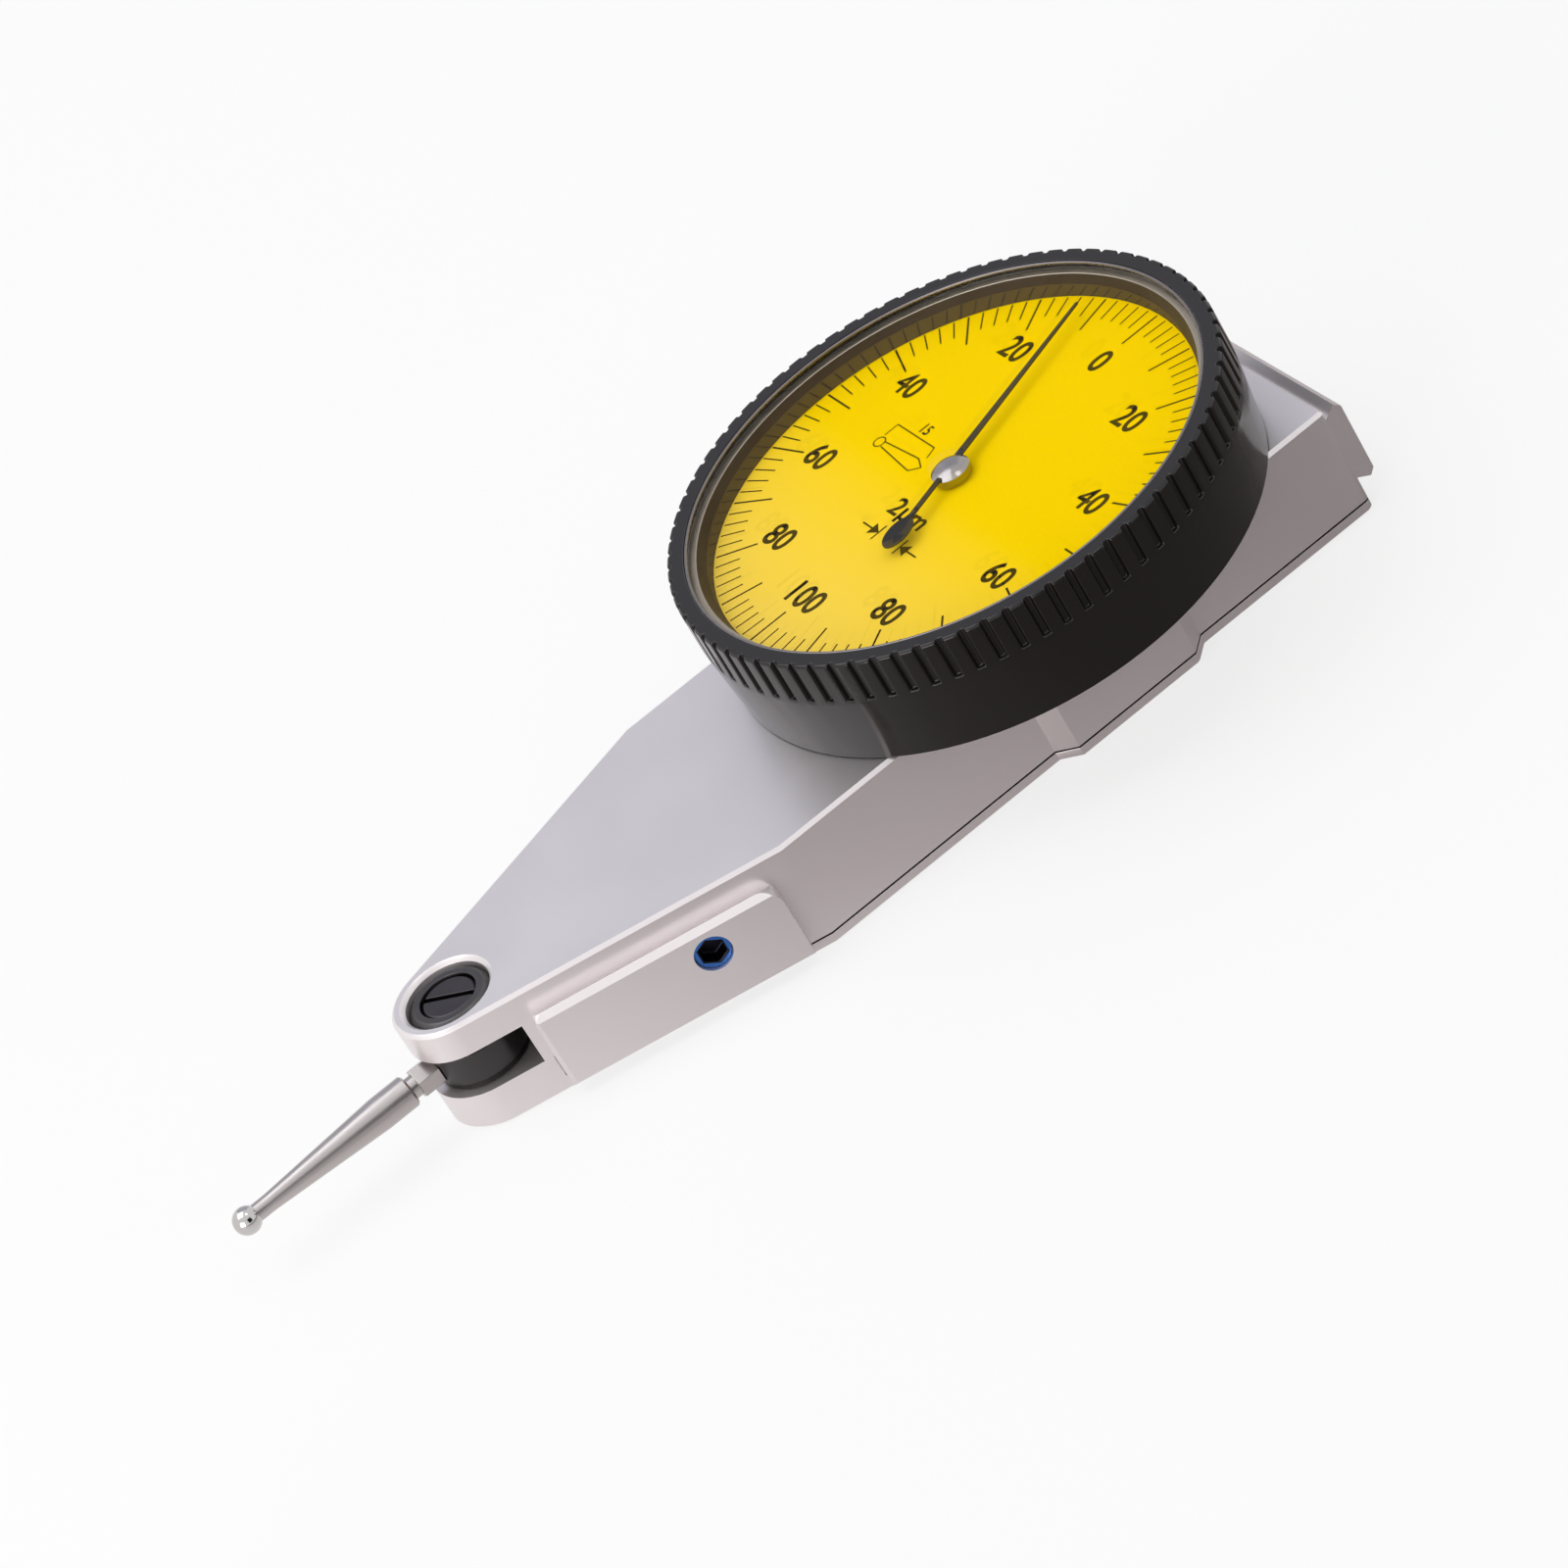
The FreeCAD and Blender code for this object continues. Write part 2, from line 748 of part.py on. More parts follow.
def stylus_shank():
    """The cone, shank, neck, hexagon collar and threaded stud of the stylus."""
    seat = stylus_length - drum_radius + drum_flat_depth
    collar_start = seat - collar_length
    shank_end = collar_start - neck_length
    cone_end = shank_end - shank_length
    stud_end = seat + stud_length
    body = along_stylus(
        [
            (ball_flat(), 0),
            (ball_flat(), tip_radius),
            (tip_length, tip_radius),
            (cone_end, shank_radius),
            (shank_end - shank_edge_chamfer, shank_radius),
            (shank_end, shank_radius - shank_edge_chamfer),
            (shank_end, neck_radius),
            (seat, neck_radius),
            (seat, stud_radius),
            (stud_end, stud_radius),
            (stud_end, 0),
        ]
    )
    corner = collar_across_flats / (2 * math.cos(math.pi / hexagon_sides))
    collar = hexagon(corner, collar_length)
    collar.translate(Vector(stylus_tip_x + collar_start, 0, stylus_z))
    return joined([body, collar])


def stylus_ball():
    """The contact ball, with the flat on which the shank is fixed."""
    centre = Vector(stylus_tip_x, 0, stylus_z)
    ball = Part.makeSphere(ball_radius, centre, FORWARD)
    flat_x = stylus_tip_x + ball_flat()
    return ball.cut(block((flat_x, -far, -far), (far, far, far)))


def tooth_half_angle(module, teeth, radius):
    """Half the angle that an involute tooth takes up at a radius."""
    pitch_radius = module * teeth / 2
    pressure = math.radians(pressure_angle)
    local = math.acos(min(1.0, pitch_radius * math.cos(pressure) / radius))
    rolled = math.tan(pressure) - pressure - math.tan(local) + local
    return math.pi / (2 * teeth) - tooth_backlash / (2 * pitch_radius) + rolled


def tooth_points(module, teeth, middle, radii):
    """One tooth's outline about an angle, from its root up to its tip and down again."""
    flank = [(radius, tooth_half_angle(module, teeth, radius)) for radius in radii]
    rising = [(radius, middle - half) for radius, half in flank]
    falling = [(radius, middle + half) for radius, half in reversed(flank)]
    return [(r * math.cos(a), r * math.sin(a)) for r, a in rising + falling]


def root_and_tip(module, teeth):
    """The radii of a gear's root and tip."""
    pitch_radius = module * teeth / 2
    return pitch_radius - tooth_root_depth * module, pitch_radius + module


def gear(module, teeth, phase, bottom, top, x, pitch_point):
    """A spur gear, its first tooth at a phase, with a bent or a straight flank."""
    root, tip = root_and_tip(module, teeth)
    radii = [root, module * teeth / 2, tip] if pitch_point else [root, tip]
    points = []
    for k in range(teeth):
        points += tooth_points(module, teeth, phase + 2 * math.pi * k / teeth, radii)
    return prism([(x + px, py) for px, py in points], bottom, top)


def rivet_places():
    """The distances of the rivets from the pivot."""
    outer = sector_radius - rivet_from_teeth
    return [outer - rivet_spacing, outer]


def transmission_lever():
    """The lower cheek of the clutch and the arm that carries the sector."""
    cheek = disc(cheek_radius, lever_bottom, cheek_top, pivot_x)
    arm_end = pivot_x + rivet_places()[1]
    arm = link(
        (pivot_x, 0), (arm_end, 0), lever_arm_root_radius, lever_arm_end_radius, lever_bottom, lever_top
    )
    arm = arm.cut(disc(drum_radius + stud_clearance, cheek_top, lever_top, pivot_x))
    bore = disc(pivot_shaft_radius, lever_bottom, lever_top, pivot_x)
    rivet_holes = [
        disc(rivet_radius, lever_bottom, lever_top, pivot_x + place) for place in rivet_places()
    ]
    return joined([cheek, arm]).cut([bore] + rivet_holes)


def sector_gear():
    """The toothed segment on the end of the lever."""
    root, tip = root_and_tip(first_module, sector_teeth)
    pitch = 2 * math.pi / sector_teeth
    points = []
    for k in range(sector_cut_teeth):
        middle = (k - (sector_cut_teeth - 1) / 2) * pitch
        points += tooth_points(first_module, sector_teeth, middle, [root, sector_radius, tip])
    edge = sector_cut_teeth * pitch / 2
    inner = root - sector_depth
    waist = lever_arm_end_radius
    points += [
        (root * math.cos(edge), root * math.sin(edge)),
        (inner, waist),
        (inner, -waist),
        (root * math.cos(edge), -root * math.sin(edge)),
    ]
    plate = prism([(pivot_x + x, y) for x, y in points], lever_top, sector_top)
    return plate.cut(
        [disc(rivet_radius, lever_top, sector_top, pivot_x + place) for place in rivet_places()]
    )


def sector_rivets():
    """The rivets that hold the sector on the lever."""
    return [
        disc(rivet_radius, lever_bottom, sector_top, pivot_x + place) for place in rivet_places()
    ]


def intermediate_arbor():
    """The arbor with the pinion that the sector drives, and the seat of the wheel."""
    x = intermediate_x
    pinion_bottom = lever_top - intermediate_pinion_overhang
    pinion_top = sector_top + intermediate_pinion_overhang
    module = first_module
    teeth = intermediate_pinion_teeth
    pinion = gear(module, teeth, math.pi / teeth, pinion_bottom, pinion_top, x, True)
    upper_pivot_top = cavity_top + upper_pivot_length
    return joined(
        [
            disc(pivot_radius, bridge_bottom, upper_pivot_top, x),
            disc(arbor_radius, bridge_top + axial_play, cavity_top - axial_play, x),
            pinion,
            disc(wheel_seat_radius, wheel_z - wheel_seat_height, wheel_z, x),
        ]
    )


def intermediate_wheel():
    """The wheel that drives the centre pinion."""
    wheel = gear(second_module, wheel_teeth, 0, wheel_z, wheel_top, intermediate_x, False)
    return wheel.cut(disc(arbor_radius, wheel_z, wheel_top, intermediate_x))


def centre_arbor():
    """The arbor with the pinion that turns the hand."""
    teeth = centre_pinion_teeth
    pinion_bottom = wheel_z - centre_pinion_overhang
    pinion_top = wheel_top + centre_pinion_overhang
    pinion = gear(second_module, teeth, math.pi / teeth, pinion_bottom, pinion_top, 0, True)
    lower = disc(centre_arbor_radius, bridge_top + axial_play, pinion_bottom)
    upper = disc(centre_arbor_radius, pinion_top, hand_z)
    return joined([disc(pivot_radius, bridge_bottom, bridge_top + axial_play), lower, pinion, upper])


def jewel_bearings():
    """The upper bearings of both arbors, in the roof of the case and in the housing."""
    hole = pivot_radius + jewel_hole_clearance
    centre_hole = centre_arbor_radius + jewel_hole_clearance
    roof_jewel_top = cavity_top + jewel_thickness
    return [
        ring(jewel_radius, hole, cavity_top, roof_jewel_top, intermediate_x),
        ring(centre_jewel_radius, centre_hole, housing_top - jewel_thickness, housing_top),
    ]


def spring_end_x():
    """Where the outer end of the hairspring meets its stud."""
    return spring_start_radius() + (spring_half_turns - 1) * spring_spacing


def spring_start_radius():
    """The middle of the hairspring's strip, where it leaves the collet."""
    return collet_radius + spring_gap + spring_strip / 2


def movement_bridge():
    """The bent bar under both arbors, with their lower bearings and the hairspring's stud."""
    radius = bridge_arm_radius
    bearings = [(intermediate_x, 0), (0, 0)]
    stud = (spring_end_x(), spring_stud_length / 2)
    front_post, rear_post = bridge_screw_places()
    ends = [(front_post, bearings[0]), bearings, (bearings[1], rear_post), (bearings[1], stud)]
    arms = [link(start, end, radius, radius, bridge_bottom, bridge_top) for start, end in ends]
    shank_hole = bridge_screw_radius + screw_hole_clearance
    pivot_hole = pivot_radius + jewel_hole_clearance
    cutters = [disc(shank_hole, bridge_bottom, bridge_top, x, y) for x, y in bridge_screw_places()]
    cutters += [disc(pivot_hole, bridge_bottom, bridge_top, x) for x, _ in bearings]
    return joined(arms).cut(cutters)


def bridge_screws():
    """The screws under the bridge."""
    head_bottom = bridge_bottom - bridge_screw_head_height
    screws = []
    for x, y in bridge_screw_places():
        head = disc(bridge_screw_head_radius, head_bottom, bridge_bottom, x, y)
        shank_top = bridge_bottom + bridge_screw_length
        shank = disc(bridge_screw_radius, bridge_bottom, shank_top, x, y)
        screws.append(joined([head, shank]))
    return screws


def hairspring_collet():
    """The collar on the centre arbor to which the hairspring belongs."""
    top = collet_bottom + collet_height
    return ring(collet_radius, centre_arbor_radius, collet_bottom, top)


def hairspring():
    """A flat spiral of half circles, each a step wider than the last."""
    z = collet_bottom + (collet_height - spring_height) / 2
    outer = []
    inner = []
    for k in range(spring_half_turns):
        radius = spring_start_radius() + k * spring_spacing
        centre = 0 if k % 2 == 0 else -spring_spacing
        side = -1 if k % 2 == 0 else 1
        for edges, r in ((outer, radius + spring_strip / 2), (inner, radius - spring_strip / 2)):
            start = Vector(centre + side * r, 0, z)
            middle = Vector(centre, side * r, z)
            end = Vector(centre - side * r, 0, z)
            edges.append(Part.Arc(start, middle, end).toShape())
    first = Part.LineSegment(outer[0].Vertexes[0].Point, inner[0].Vertexes[0].Point).toShape()
    last = Part.LineSegment(outer[-1].Vertexes[-1].Point, inner[-1].Vertexes[-1].Point).toShape()
    wire = Part.Wire(Part.__sortEdges__(outer + [last] + inner + [first]))
    return Part.Face(wire).extrude(UP * spring_height)


def hairspring_stud():
    """The post on the bridge that holds the outer end of the hairspring."""
    x = spring_end_x()
    top = collet_bottom + (collet_height + spring_height) / 2 + spring_stud_rise
    return block(
        (x - spring_stud_half_width, 0, bridge_top),
        (x + spring_stud_half_width, spring_stud_length, top),
    )


def knurl_grooves():
    """The grooves round the upper edge of the bezel."""
    floor = bezel_radius - knurl_depth
    slope = (knurl_outer_width - knurl_floor_width) / knurl_depth
    outer = bezel_radius + knurl_depth
    outer_half = (knurl_outer_width + slope * knurl_depth) / 2
    floor_half = knurl_floor_width / 2
    section = [(floor, -floor_half), (outer, -outer_half), (outer, outer_half), (floor, floor_half)]
    grooves = []
    for k in range(knurl_count):
        groove = prism(section, knurl_bottom, bezel_top + knurl_depth)
        groove.rotate(ORIGIN, UP, knurl_phase + full_turn * k / knurl_count)
        grooves.append(groove)
    return grooves


def bezel():
    """The black ring that carries dial and crystal, knurled at the top, plain below.

    Inside, its wall opens upwards from the dial to the crystal's seat.
    """
    skirt_bottom = body_height + skirt_bottom_gap
    blank = turned(
        [
            (bezel_inner_radius, skirt_bottom),
            (skirt_bottom_radius, skirt_bottom),
            (bezel_radius, knurl_bottom - taper_start_below_knurl),
            (bezel_radius, bezel_top - bezel_rim_chamfer),
            (bezel_radius - bezel_rim_chamfer, bezel_top),
            (crystal_seat_radius, bezel_top),
            (crystal_seat_radius, crystal_seat_z),
            (opening_radius + opening_flare, crystal_seat_z),
            (opening_radius, dial_face_z),
            (bezel_bore_radius, dial_face_z),
            (bezel_bore_radius, flange_top - press_ring_gap),
            (bezel_inner_radius, flange_top - press_ring_gap),
        ]
    )
    return blank.cut(knurl_grooves())


def bezel_press_ring():
    """The ring pressed on the housing, over the bezel's inner lip."""
    return ring(press_ring_radius, spigot_radius, flange_top, flange_top + press_ring_height)


def dial_plate():
    """The printed plate that turns with the bezel."""
    radius = bezel_bore_radius - dial_edge_clearance
    return ring(radius, dial_hole_radius, dial_face_z - dial_thickness, dial_face_z)


def dial_keys():
    """The small keys in the bezel's bore that hold the dial plate against its ledge."""
    top = dial_face_z - dial_thickness
    reach = bezel_bore_radius - dial_edge_clearance
    outer = math.sqrt(reach**2 - (key_width / 2) ** 2)
    keys = []
    for k in range(key_count):
        key = block(
            (outer - key_depth, -key_width / 2, top - key_thickness), (outer, key_width / 2, top)
        )
        key.rotate(ORIGIN, UP, key_phase + full_turn * k / key_count)
        keys.append(key)
    return keys


def crystal():
    """The clear disc over the dial."""
    outer = crystal_seat_radius - crystal_edge_clearance
    return disc(outer, crystal_seat_z, crystal_seat_z + crystal_thickness)


def crystal_retaining_ring():
    """The ring that holds the crystal in the bezel's rim."""
    outer = crystal_seat_radius - crystal_edge_clearance
    bottom = crystal_seat_z + crystal_thickness
    top = bottom + crystal_ring_thickness
    return ring(outer, outer - crystal_ring_width, bottom, top)


def counterweight():
    """The oval at the short end of the hand."""
    oval = Part.Ellipse(Vector(0, 0, 0), counterweight_half_length, counterweight_half_width)
    face = Part.Face(Part.Wire(oval.toShape()))
    face.translate(Vector(-counterweight_distance, 0, hand_z))
    return face.extrude(UP * hand_thickness)


def pointer_hand():
    """The flat hand with its oval counterweight."""
    top = hand_z + hand_thickness
    blade_end = hand_length - hand_tip_radius
    blade = link((0, 0), (blade_end, 0), hand_root_radius, hand_tip_radius, hand_z, top)
    tail_end = (-counterweight_distance, 0)
    tail = link((0, 0), tail_end, hand_tail_radius, hand_tail_radius, hand_z, top)
    hand = joined([blade, tail, counterweight()])
    hand.rotate(ORIGIN, UP, hand_angle)
    return hand


def pointer_hub():
    """The domed hub that grips the centre arbor and the hand."""
    dome_radius = (hub_radius**2 + hub_dome**2) / (2 * hub_dome)
    dome = Part.makeSphere(dome_radius, UP * (hub_top - dome_radius))
    hub = disc(hub_radius, hub_bottom, hub_top).common(dome)
    return hub.cut([disc(centre_arbor_radius, hub_bottom, hand_z), pointer_hand()])


def build():
    """Makes every node and writes it."""
    nodes = {
        "body_case": [body_case()],
        "back_cover": [back_cover()],
        "cover_screws": cover_screws(),
        "side_set_screw": [side_set_screw()],
        "pivot_lock_ring": [pivot_lock_ring()],
        "upper_pivot_screw": [upper_pivot_screw()],
        "lower_pivot_screw": [lower_pivot_screw()],
        "pivot_shaft": [pivot_shaft()],
        "clutch_washer": [clutch_washer()],
        "transmission_lever": [transmission_lever()],
        "sector_gear": [sector_gear()],
        "sector_rivets": sector_rivets(),
        "stylus_drum": [stylus_drum()],
        "stylus_shank": [stylus_shank()],
        "stylus_ball": [stylus_ball()],
        "intermediate_arbor": [intermediate_arbor()],
        "intermediate_wheel": [intermediate_wheel()],
        "centre_arbor": [centre_arbor()],
        "hairspring_collet": [hairspring_collet()],
        "hairspring": [hairspring()],
        "hairspring_stud": [hairspring_stud()],
        "movement_bridge": [movement_bridge()],
        "bridge_screws": bridge_screws(),
        "jewel_bearings": jewel_bearings(),
        "bezel": [bezel()],
        "bezel_press_ring": [bezel_press_ring()],
        "dial_plate": [dial_plate()],
        "dial_keys": dial_keys(),
        "crystal": [crystal()],
        "crystal_retaining_ring": [crystal_retaining_ring()],
        "pointer_hand": [pointer_hand()],
        "pointer_hub": [pointer_hub()],
    }
    for name, shapes in nodes.items():
        save(name, shapes)


build()
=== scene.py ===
import json
import math

import bpy
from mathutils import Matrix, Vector


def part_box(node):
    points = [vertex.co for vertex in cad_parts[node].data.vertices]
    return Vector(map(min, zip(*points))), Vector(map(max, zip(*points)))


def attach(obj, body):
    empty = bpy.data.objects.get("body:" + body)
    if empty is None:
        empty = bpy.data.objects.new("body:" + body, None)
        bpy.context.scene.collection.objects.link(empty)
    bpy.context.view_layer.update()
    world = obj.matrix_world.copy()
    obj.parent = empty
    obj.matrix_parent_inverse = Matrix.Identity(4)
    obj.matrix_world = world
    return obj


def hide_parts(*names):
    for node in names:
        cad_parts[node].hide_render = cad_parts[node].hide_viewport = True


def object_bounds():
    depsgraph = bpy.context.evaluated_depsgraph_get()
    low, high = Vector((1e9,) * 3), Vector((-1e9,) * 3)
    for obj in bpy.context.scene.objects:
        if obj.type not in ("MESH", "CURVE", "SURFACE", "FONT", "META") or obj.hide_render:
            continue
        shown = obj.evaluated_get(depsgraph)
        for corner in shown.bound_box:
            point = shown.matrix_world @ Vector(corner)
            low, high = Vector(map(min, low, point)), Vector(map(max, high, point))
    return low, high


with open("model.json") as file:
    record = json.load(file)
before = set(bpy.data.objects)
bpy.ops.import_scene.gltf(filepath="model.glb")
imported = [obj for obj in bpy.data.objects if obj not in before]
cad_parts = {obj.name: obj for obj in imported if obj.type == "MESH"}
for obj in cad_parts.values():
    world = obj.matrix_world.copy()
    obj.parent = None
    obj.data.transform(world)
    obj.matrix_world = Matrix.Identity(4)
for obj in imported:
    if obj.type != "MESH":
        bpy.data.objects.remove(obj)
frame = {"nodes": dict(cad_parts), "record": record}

# Dial test indicator: looks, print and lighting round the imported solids. Sizes are in metres.
cad_low, cad_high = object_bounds()
mm = 0.001
full_turn = 2 * math.pi
quarter_turn = math.pi / 2
UP = Vector((0, 0, 1))
ALONG = Vector((1, 0, 0))
nodes = frame["nodes"]

# Places read from the solids
dial_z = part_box("dial_plate")[1].z
ball_low, ball_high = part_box("stylus_ball")
ball_radius = (ball_high.z - ball_low.z) / 2
ball_x = ball_low.x + ball_radius
stylus_z = ball_low.z + ball_radius
shank_low, shank_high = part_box("stylus_shank")
ball_flat = shank_low.x - ball_x
drum_flat_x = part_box("stylus_drum")[0].x
shaft_low, shaft_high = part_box("pivot_shaft")
pivot_x = (shaft_low.x + shaft_high.x) / 2
hub_low, hub_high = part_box("pointer_hub")
hub_radius = hub_high.x
ring_low, ring_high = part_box("crystal_retaining_ring")
crystal_low, crystal_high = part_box("crystal")
ledge_z = crystal_low.z
mounts = {mount["name"]: mount for mount in frame["record"]["mounts"]}

# Stylus, measured back from its seat on the drum
tip_length = 1.9 * mm
shank_length = 2.55 * mm
shank_chamfer = 0.15 * mm
neck_radius = 0.78 * mm
neck_length = 0.55 * mm
collar_length = 1.65 * mm
collar_across_flats = 2.0 * mm
stud_radius = 0.75 * mm
hexagon_sides = 6

# Case: the groove above its cover, and the rim of its set screw
groove_height = 0.15 * mm
blued_width = 0.24 * mm

# Rim of the bezel, the room left round the crystal, and the dome of the hub
ring_width = 0.2 * mm
seat_gap = 0.01 * mm
opening_start = 17.4 * mm
opening_end = 18.2 * mm
dome_height = 0.5 * mm

# Steps round the turned pieces and along their arcs
turned_steps = 96
ring_steps = 180
ball_steps = 64
ball_arc_steps = 28
dome_arc_steps = 14
circle_steps = 32

# Widths and steps of broken edges, and the angles that tell edges from faces
fine_edge = 0.05 * mm
case_edge = 0.07 * mm
knurl_edge = 0.08 * mm
ring_edge = 0.07 * mm
edge_steps = 2
round_steps = 3
edge_angle = math.radians(25)
smooth_angle = math.radians(32)
merge_distance = 0.001 * mm
flat_angle = math.radians(0.5)

# Fine grain and turning marks of the finishes
grain_height = 0.002 * mm
mark_height = 0.0015 * mm
black_grain_height = 0.001 * mm

# Dial, where its painted sheen starts and where it is strongest
painted_sheen_start = -2 * mm
painted_sheen_end = -17 * mm

# Print on the dial; label_weight thickens the strokes by a share of the letters' own size
ink_height = 0.012 * mm
long_tick_width = 0.15 * mm
short_tick_width = 0.11 * mm
tick_count = 100
ticks_in_cell = 5
long_tick_start = 14.4 * mm
short_tick_start = 15.65 * mm
tick_end = 17.45 * mm
label_radius = 12.65 * mm
label_drop = 0.23 * mm
label_weight = 0.031
label_height = 2.05 * mm
label_stretch = 0.92
labels = ["0", "20", "40", "60", "80", "100", "80", "60", "40", "20"]
label_angle = full_turn / len(labels)
unit_place = Vector((-4.0, -0.15, 0.0)) * mm
unit_height = 1.9 * mm
unit_stretch = 1.12
fine_line = 0.13 * mm
interval_place = Vector((-6.2, -0.95, 0.0)) * mm
arrow_reach = 2.05 * mm
arrow_tail = 1.5 * mm
arrow_head = 0.6 * mm
arrow_bar = 1.4 * mm
arrow_corners = 3

# Sketch of a stylus on the dial, drawn in millimetres along its words and up from its centre
sign_place = Vector((-0.6, 6.6, 0.0)) * mm
sign_line = 0.1 * mm
sketch_outline = [(-1.9, 0.0), (2.2, 0.3), (3.2, -0.15), (2.5, -0.85), (-1.8, -0.45)]
measure_line = [(-2.6, 0.4), (-2.6, 1.55), (2.35, 1.55), (2.75, 0.65)]
sign_ball = 0.45 * mm
sign_ball_at = (-2.35, -0.22)
sign_figure = "15"
sign_figure_height = 0.9 * mm
sign_figure_at = (0.0, 2.3)

# Camera, its turns in degrees about X, Y and Z, and its lens and film in millimetres
camera_place = (-0.105195, -0.387785, 0.272574)
camera_turn = (51.5558, 25.9024, -31.4396)
film_width = 36
lens_length = 167.27
nearest_seen = 10 * mm

# Lamps and the world
studio_middle = (-0.02, 0, 0.01)
key_place = (-0.25, 0.15, 0.6)
key_size = 0.5
key_power = 1.35
key_colour = (0.95, 0.97, 1.0)
top_place = (0.12, -0.12, 0.55)
top_size = 0.15
top_power = 0.14
top_colour = (1.0, 0.99, 0.98)
fill_place = (-0.5, -0.3, 0.12)
fill_size = 0.35
fill_power = 1.2
fill_colour = (1.0, 0.93, 0.88)
white = (1, 1, 1, 1)
daylight = 0.64

# Glowing cards and a sheet that show only in the gloss, as painted reflections, and the floor
front_card_place = (0.05, -0.44, 0.2)
front_card_size = 0.3
front_card_dark_reflection = (0.02, 0.02, 0.02)
back_card_place = (0.09, 0.42, 0.3)
back_card_size = 0.5
back_card_reflection = (0.6, 0.615, 0.69)
tones_heading = math.atan2(-0.8, 0.6)
tones_size = 400 * mm
tones_drop = 0.01 * mm
nose_tone = (1.0, 0.98, 0.98)
nose_tone_at = -38 * mm
side_painted_shade = (0.41, 0.37, 0.37)
rear_painted_shade = (0.22, 0.195, 0.195)
rear_painted_shade_at = 22 * mm
floor_size = 6
floor_drop = 0.02 * mm
floor_colour = (0.9, 0.9, 0.9)
floor_glow = 0.74


# Selecting and shaping
def deselect():
    """Leaves edit mode and lets go of everything."""
    if bpy.context.object and bpy.context.object.mode != "OBJECT":
        bpy.ops.object.mode_set(mode="OBJECT")
    bpy.ops.object.select_all(action="DESELECT")


def hold(piece):
    """Selects one piece and makes it the active one."""
    deselect()
    piece.select_set(True)
    bpy.context.view_layer.objects.active = piece


def settle(piece):
    """Puts the piece's place into its mesh and leaves its object at the origin."""
    hold(piece)
    bpy.ops.object.transform_apply(location=True, rotation=True, scale=True)


def joined(pieces):
    """Joins pieces into the first of them."""
    deselect()
    for piece in pieces:
        piece.select_set(True)
    bpy.context.view_layer.objects.active = pieces[0]
    bpy.ops.object.join()
    return pieces[0]


def smooth(piece):
    """Smooth shading that keeps flat faces flat and sharp edges sharp."""
    hold(piece)
    bpy.ops.object.shade_smooth_by_angle(angle=smooth_angle)
    level = piece.modifiers.new("flat_faces", "WEIGHTED_NORMAL")
    level.keep_sharp = True
    bpy.ops.object.modifier_apply(modifier=level.name)


def break_edges(piece, width, steps=edge_steps):
    """Rounds the sharp edges."""
    hold(piece)
    bevel = piece.modifiers.new("edges", "BEVEL")
    bevel.width = width
    bevel.segments = steps
    bevel.limit_method = "ANGLE"
    bevel.angle_limit = edge_angle
    bevel.use_clamp_overlap = True
    bpy.ops.object.modifier_apply(modifier=bevel.name)


def finish_piece(piece, body, material, *replaced, slot=None):
    """Gives a piece its finish and its body, and hides the solids it stands for; the slot argument
    is not used.
    """
    piece.data.materials.clear()
    piece.data.materials.append(material)
    settle(piece)
    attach(piece, body)
    if replaced:
        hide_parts(*replaced)
    return piece


def paint(piece, material, fits):
    """Gives a further finish to the faces whose corners all fit."""
    corners = piece.data.vertices
    piece.data.materials.append(material)
    for face in piece.data.polygons:
        if all(fits(corners[k].co) for k in face.vertices):
            face.material_index = len(piece.data.materials) - 1


def face_outwards():
    """Selects all that is being edited and turns its faces outwards."""
    bpy.ops.mesh.select_all(action="SELECT")
    bpy.ops.mesh.normals_make_consistent(inside=False)


def close_seams():
    """Merges the doubled corners of what is being edited and turns its faces outwards."""
    bpy.ops.mesh.select_all(action="SELECT")
    bpy.ops.mesh.remove_doubles(threshold=merge_distance)
    face_outwards()


def start_point(name, place):
    """A new piece that is one point, in edit mode, from which a profile is traced."""
    deselect()
    bpy.ops.mesh.primitive_plane_add(size=mm)
    piece = bpy.context.object
    piece.name = name
    bpy.ops.object.mode_set(mode="EDIT")
    bpy.ops.mesh.select_all(action="SELECT")
    bpy.ops.mesh.merge(type="CENTER")
    bpy.ops.transform.translate(value=place)
    return piece


def turned_piece(name, profile, centre, axis, steps=turned_steps):
    """Traces a profile of distance and radius points and spins it about an axis."""
    across = UP if abs(axis.dot(UP)) < 1 else ALONG
    places = [centre + axis * along + across * radius for along, radius in profile]
    piece = start_point(name, places[0])
    for before, after in zip(places, places[1:]):
        bpy.ops.mesh.extrude_vertices_move(TRANSFORM_OT_translate={"value": after - before})
    bpy.ops.mesh.select_all(action="SELECT")
    bpy.ops.mesh.spin(steps=steps, angle=full_turn, center=centre, axis=axis)
    close_seams()
    deselect()
    return piece


def arc(centre, radius, start, end, steps):
    """Profile points on an arc, from a start angle to an end angle in degrees."""
    angles = [math.radians(start + (end - start) * k / steps) for k in range(steps + 1)]
    return [(centre + radius * math.cos(a), radius * math.sin(a)) for a in angles]


def refined(node, width, steps=edge_steps):
    """A merged copy of a solid with its edges broken."""
    piece = bpy.data.objects.new(node + "_finished", nodes[node].data.copy())
    bpy.context.scene.collection.objects.link(piece)
    hold(piece)
    bpy.ops.object.mode_set(mode="EDIT")
    bpy.ops.mesh.select_all(action="SELECT")
    bpy.ops.mesh.remove_doubles(threshold=merge_distance)
    bpy.ops.mesh.dissolve_limited(angle_limit=flat_angle)
    deselect()
    break_edges(piece, width, steps)
    smooth(piece)
    return piece


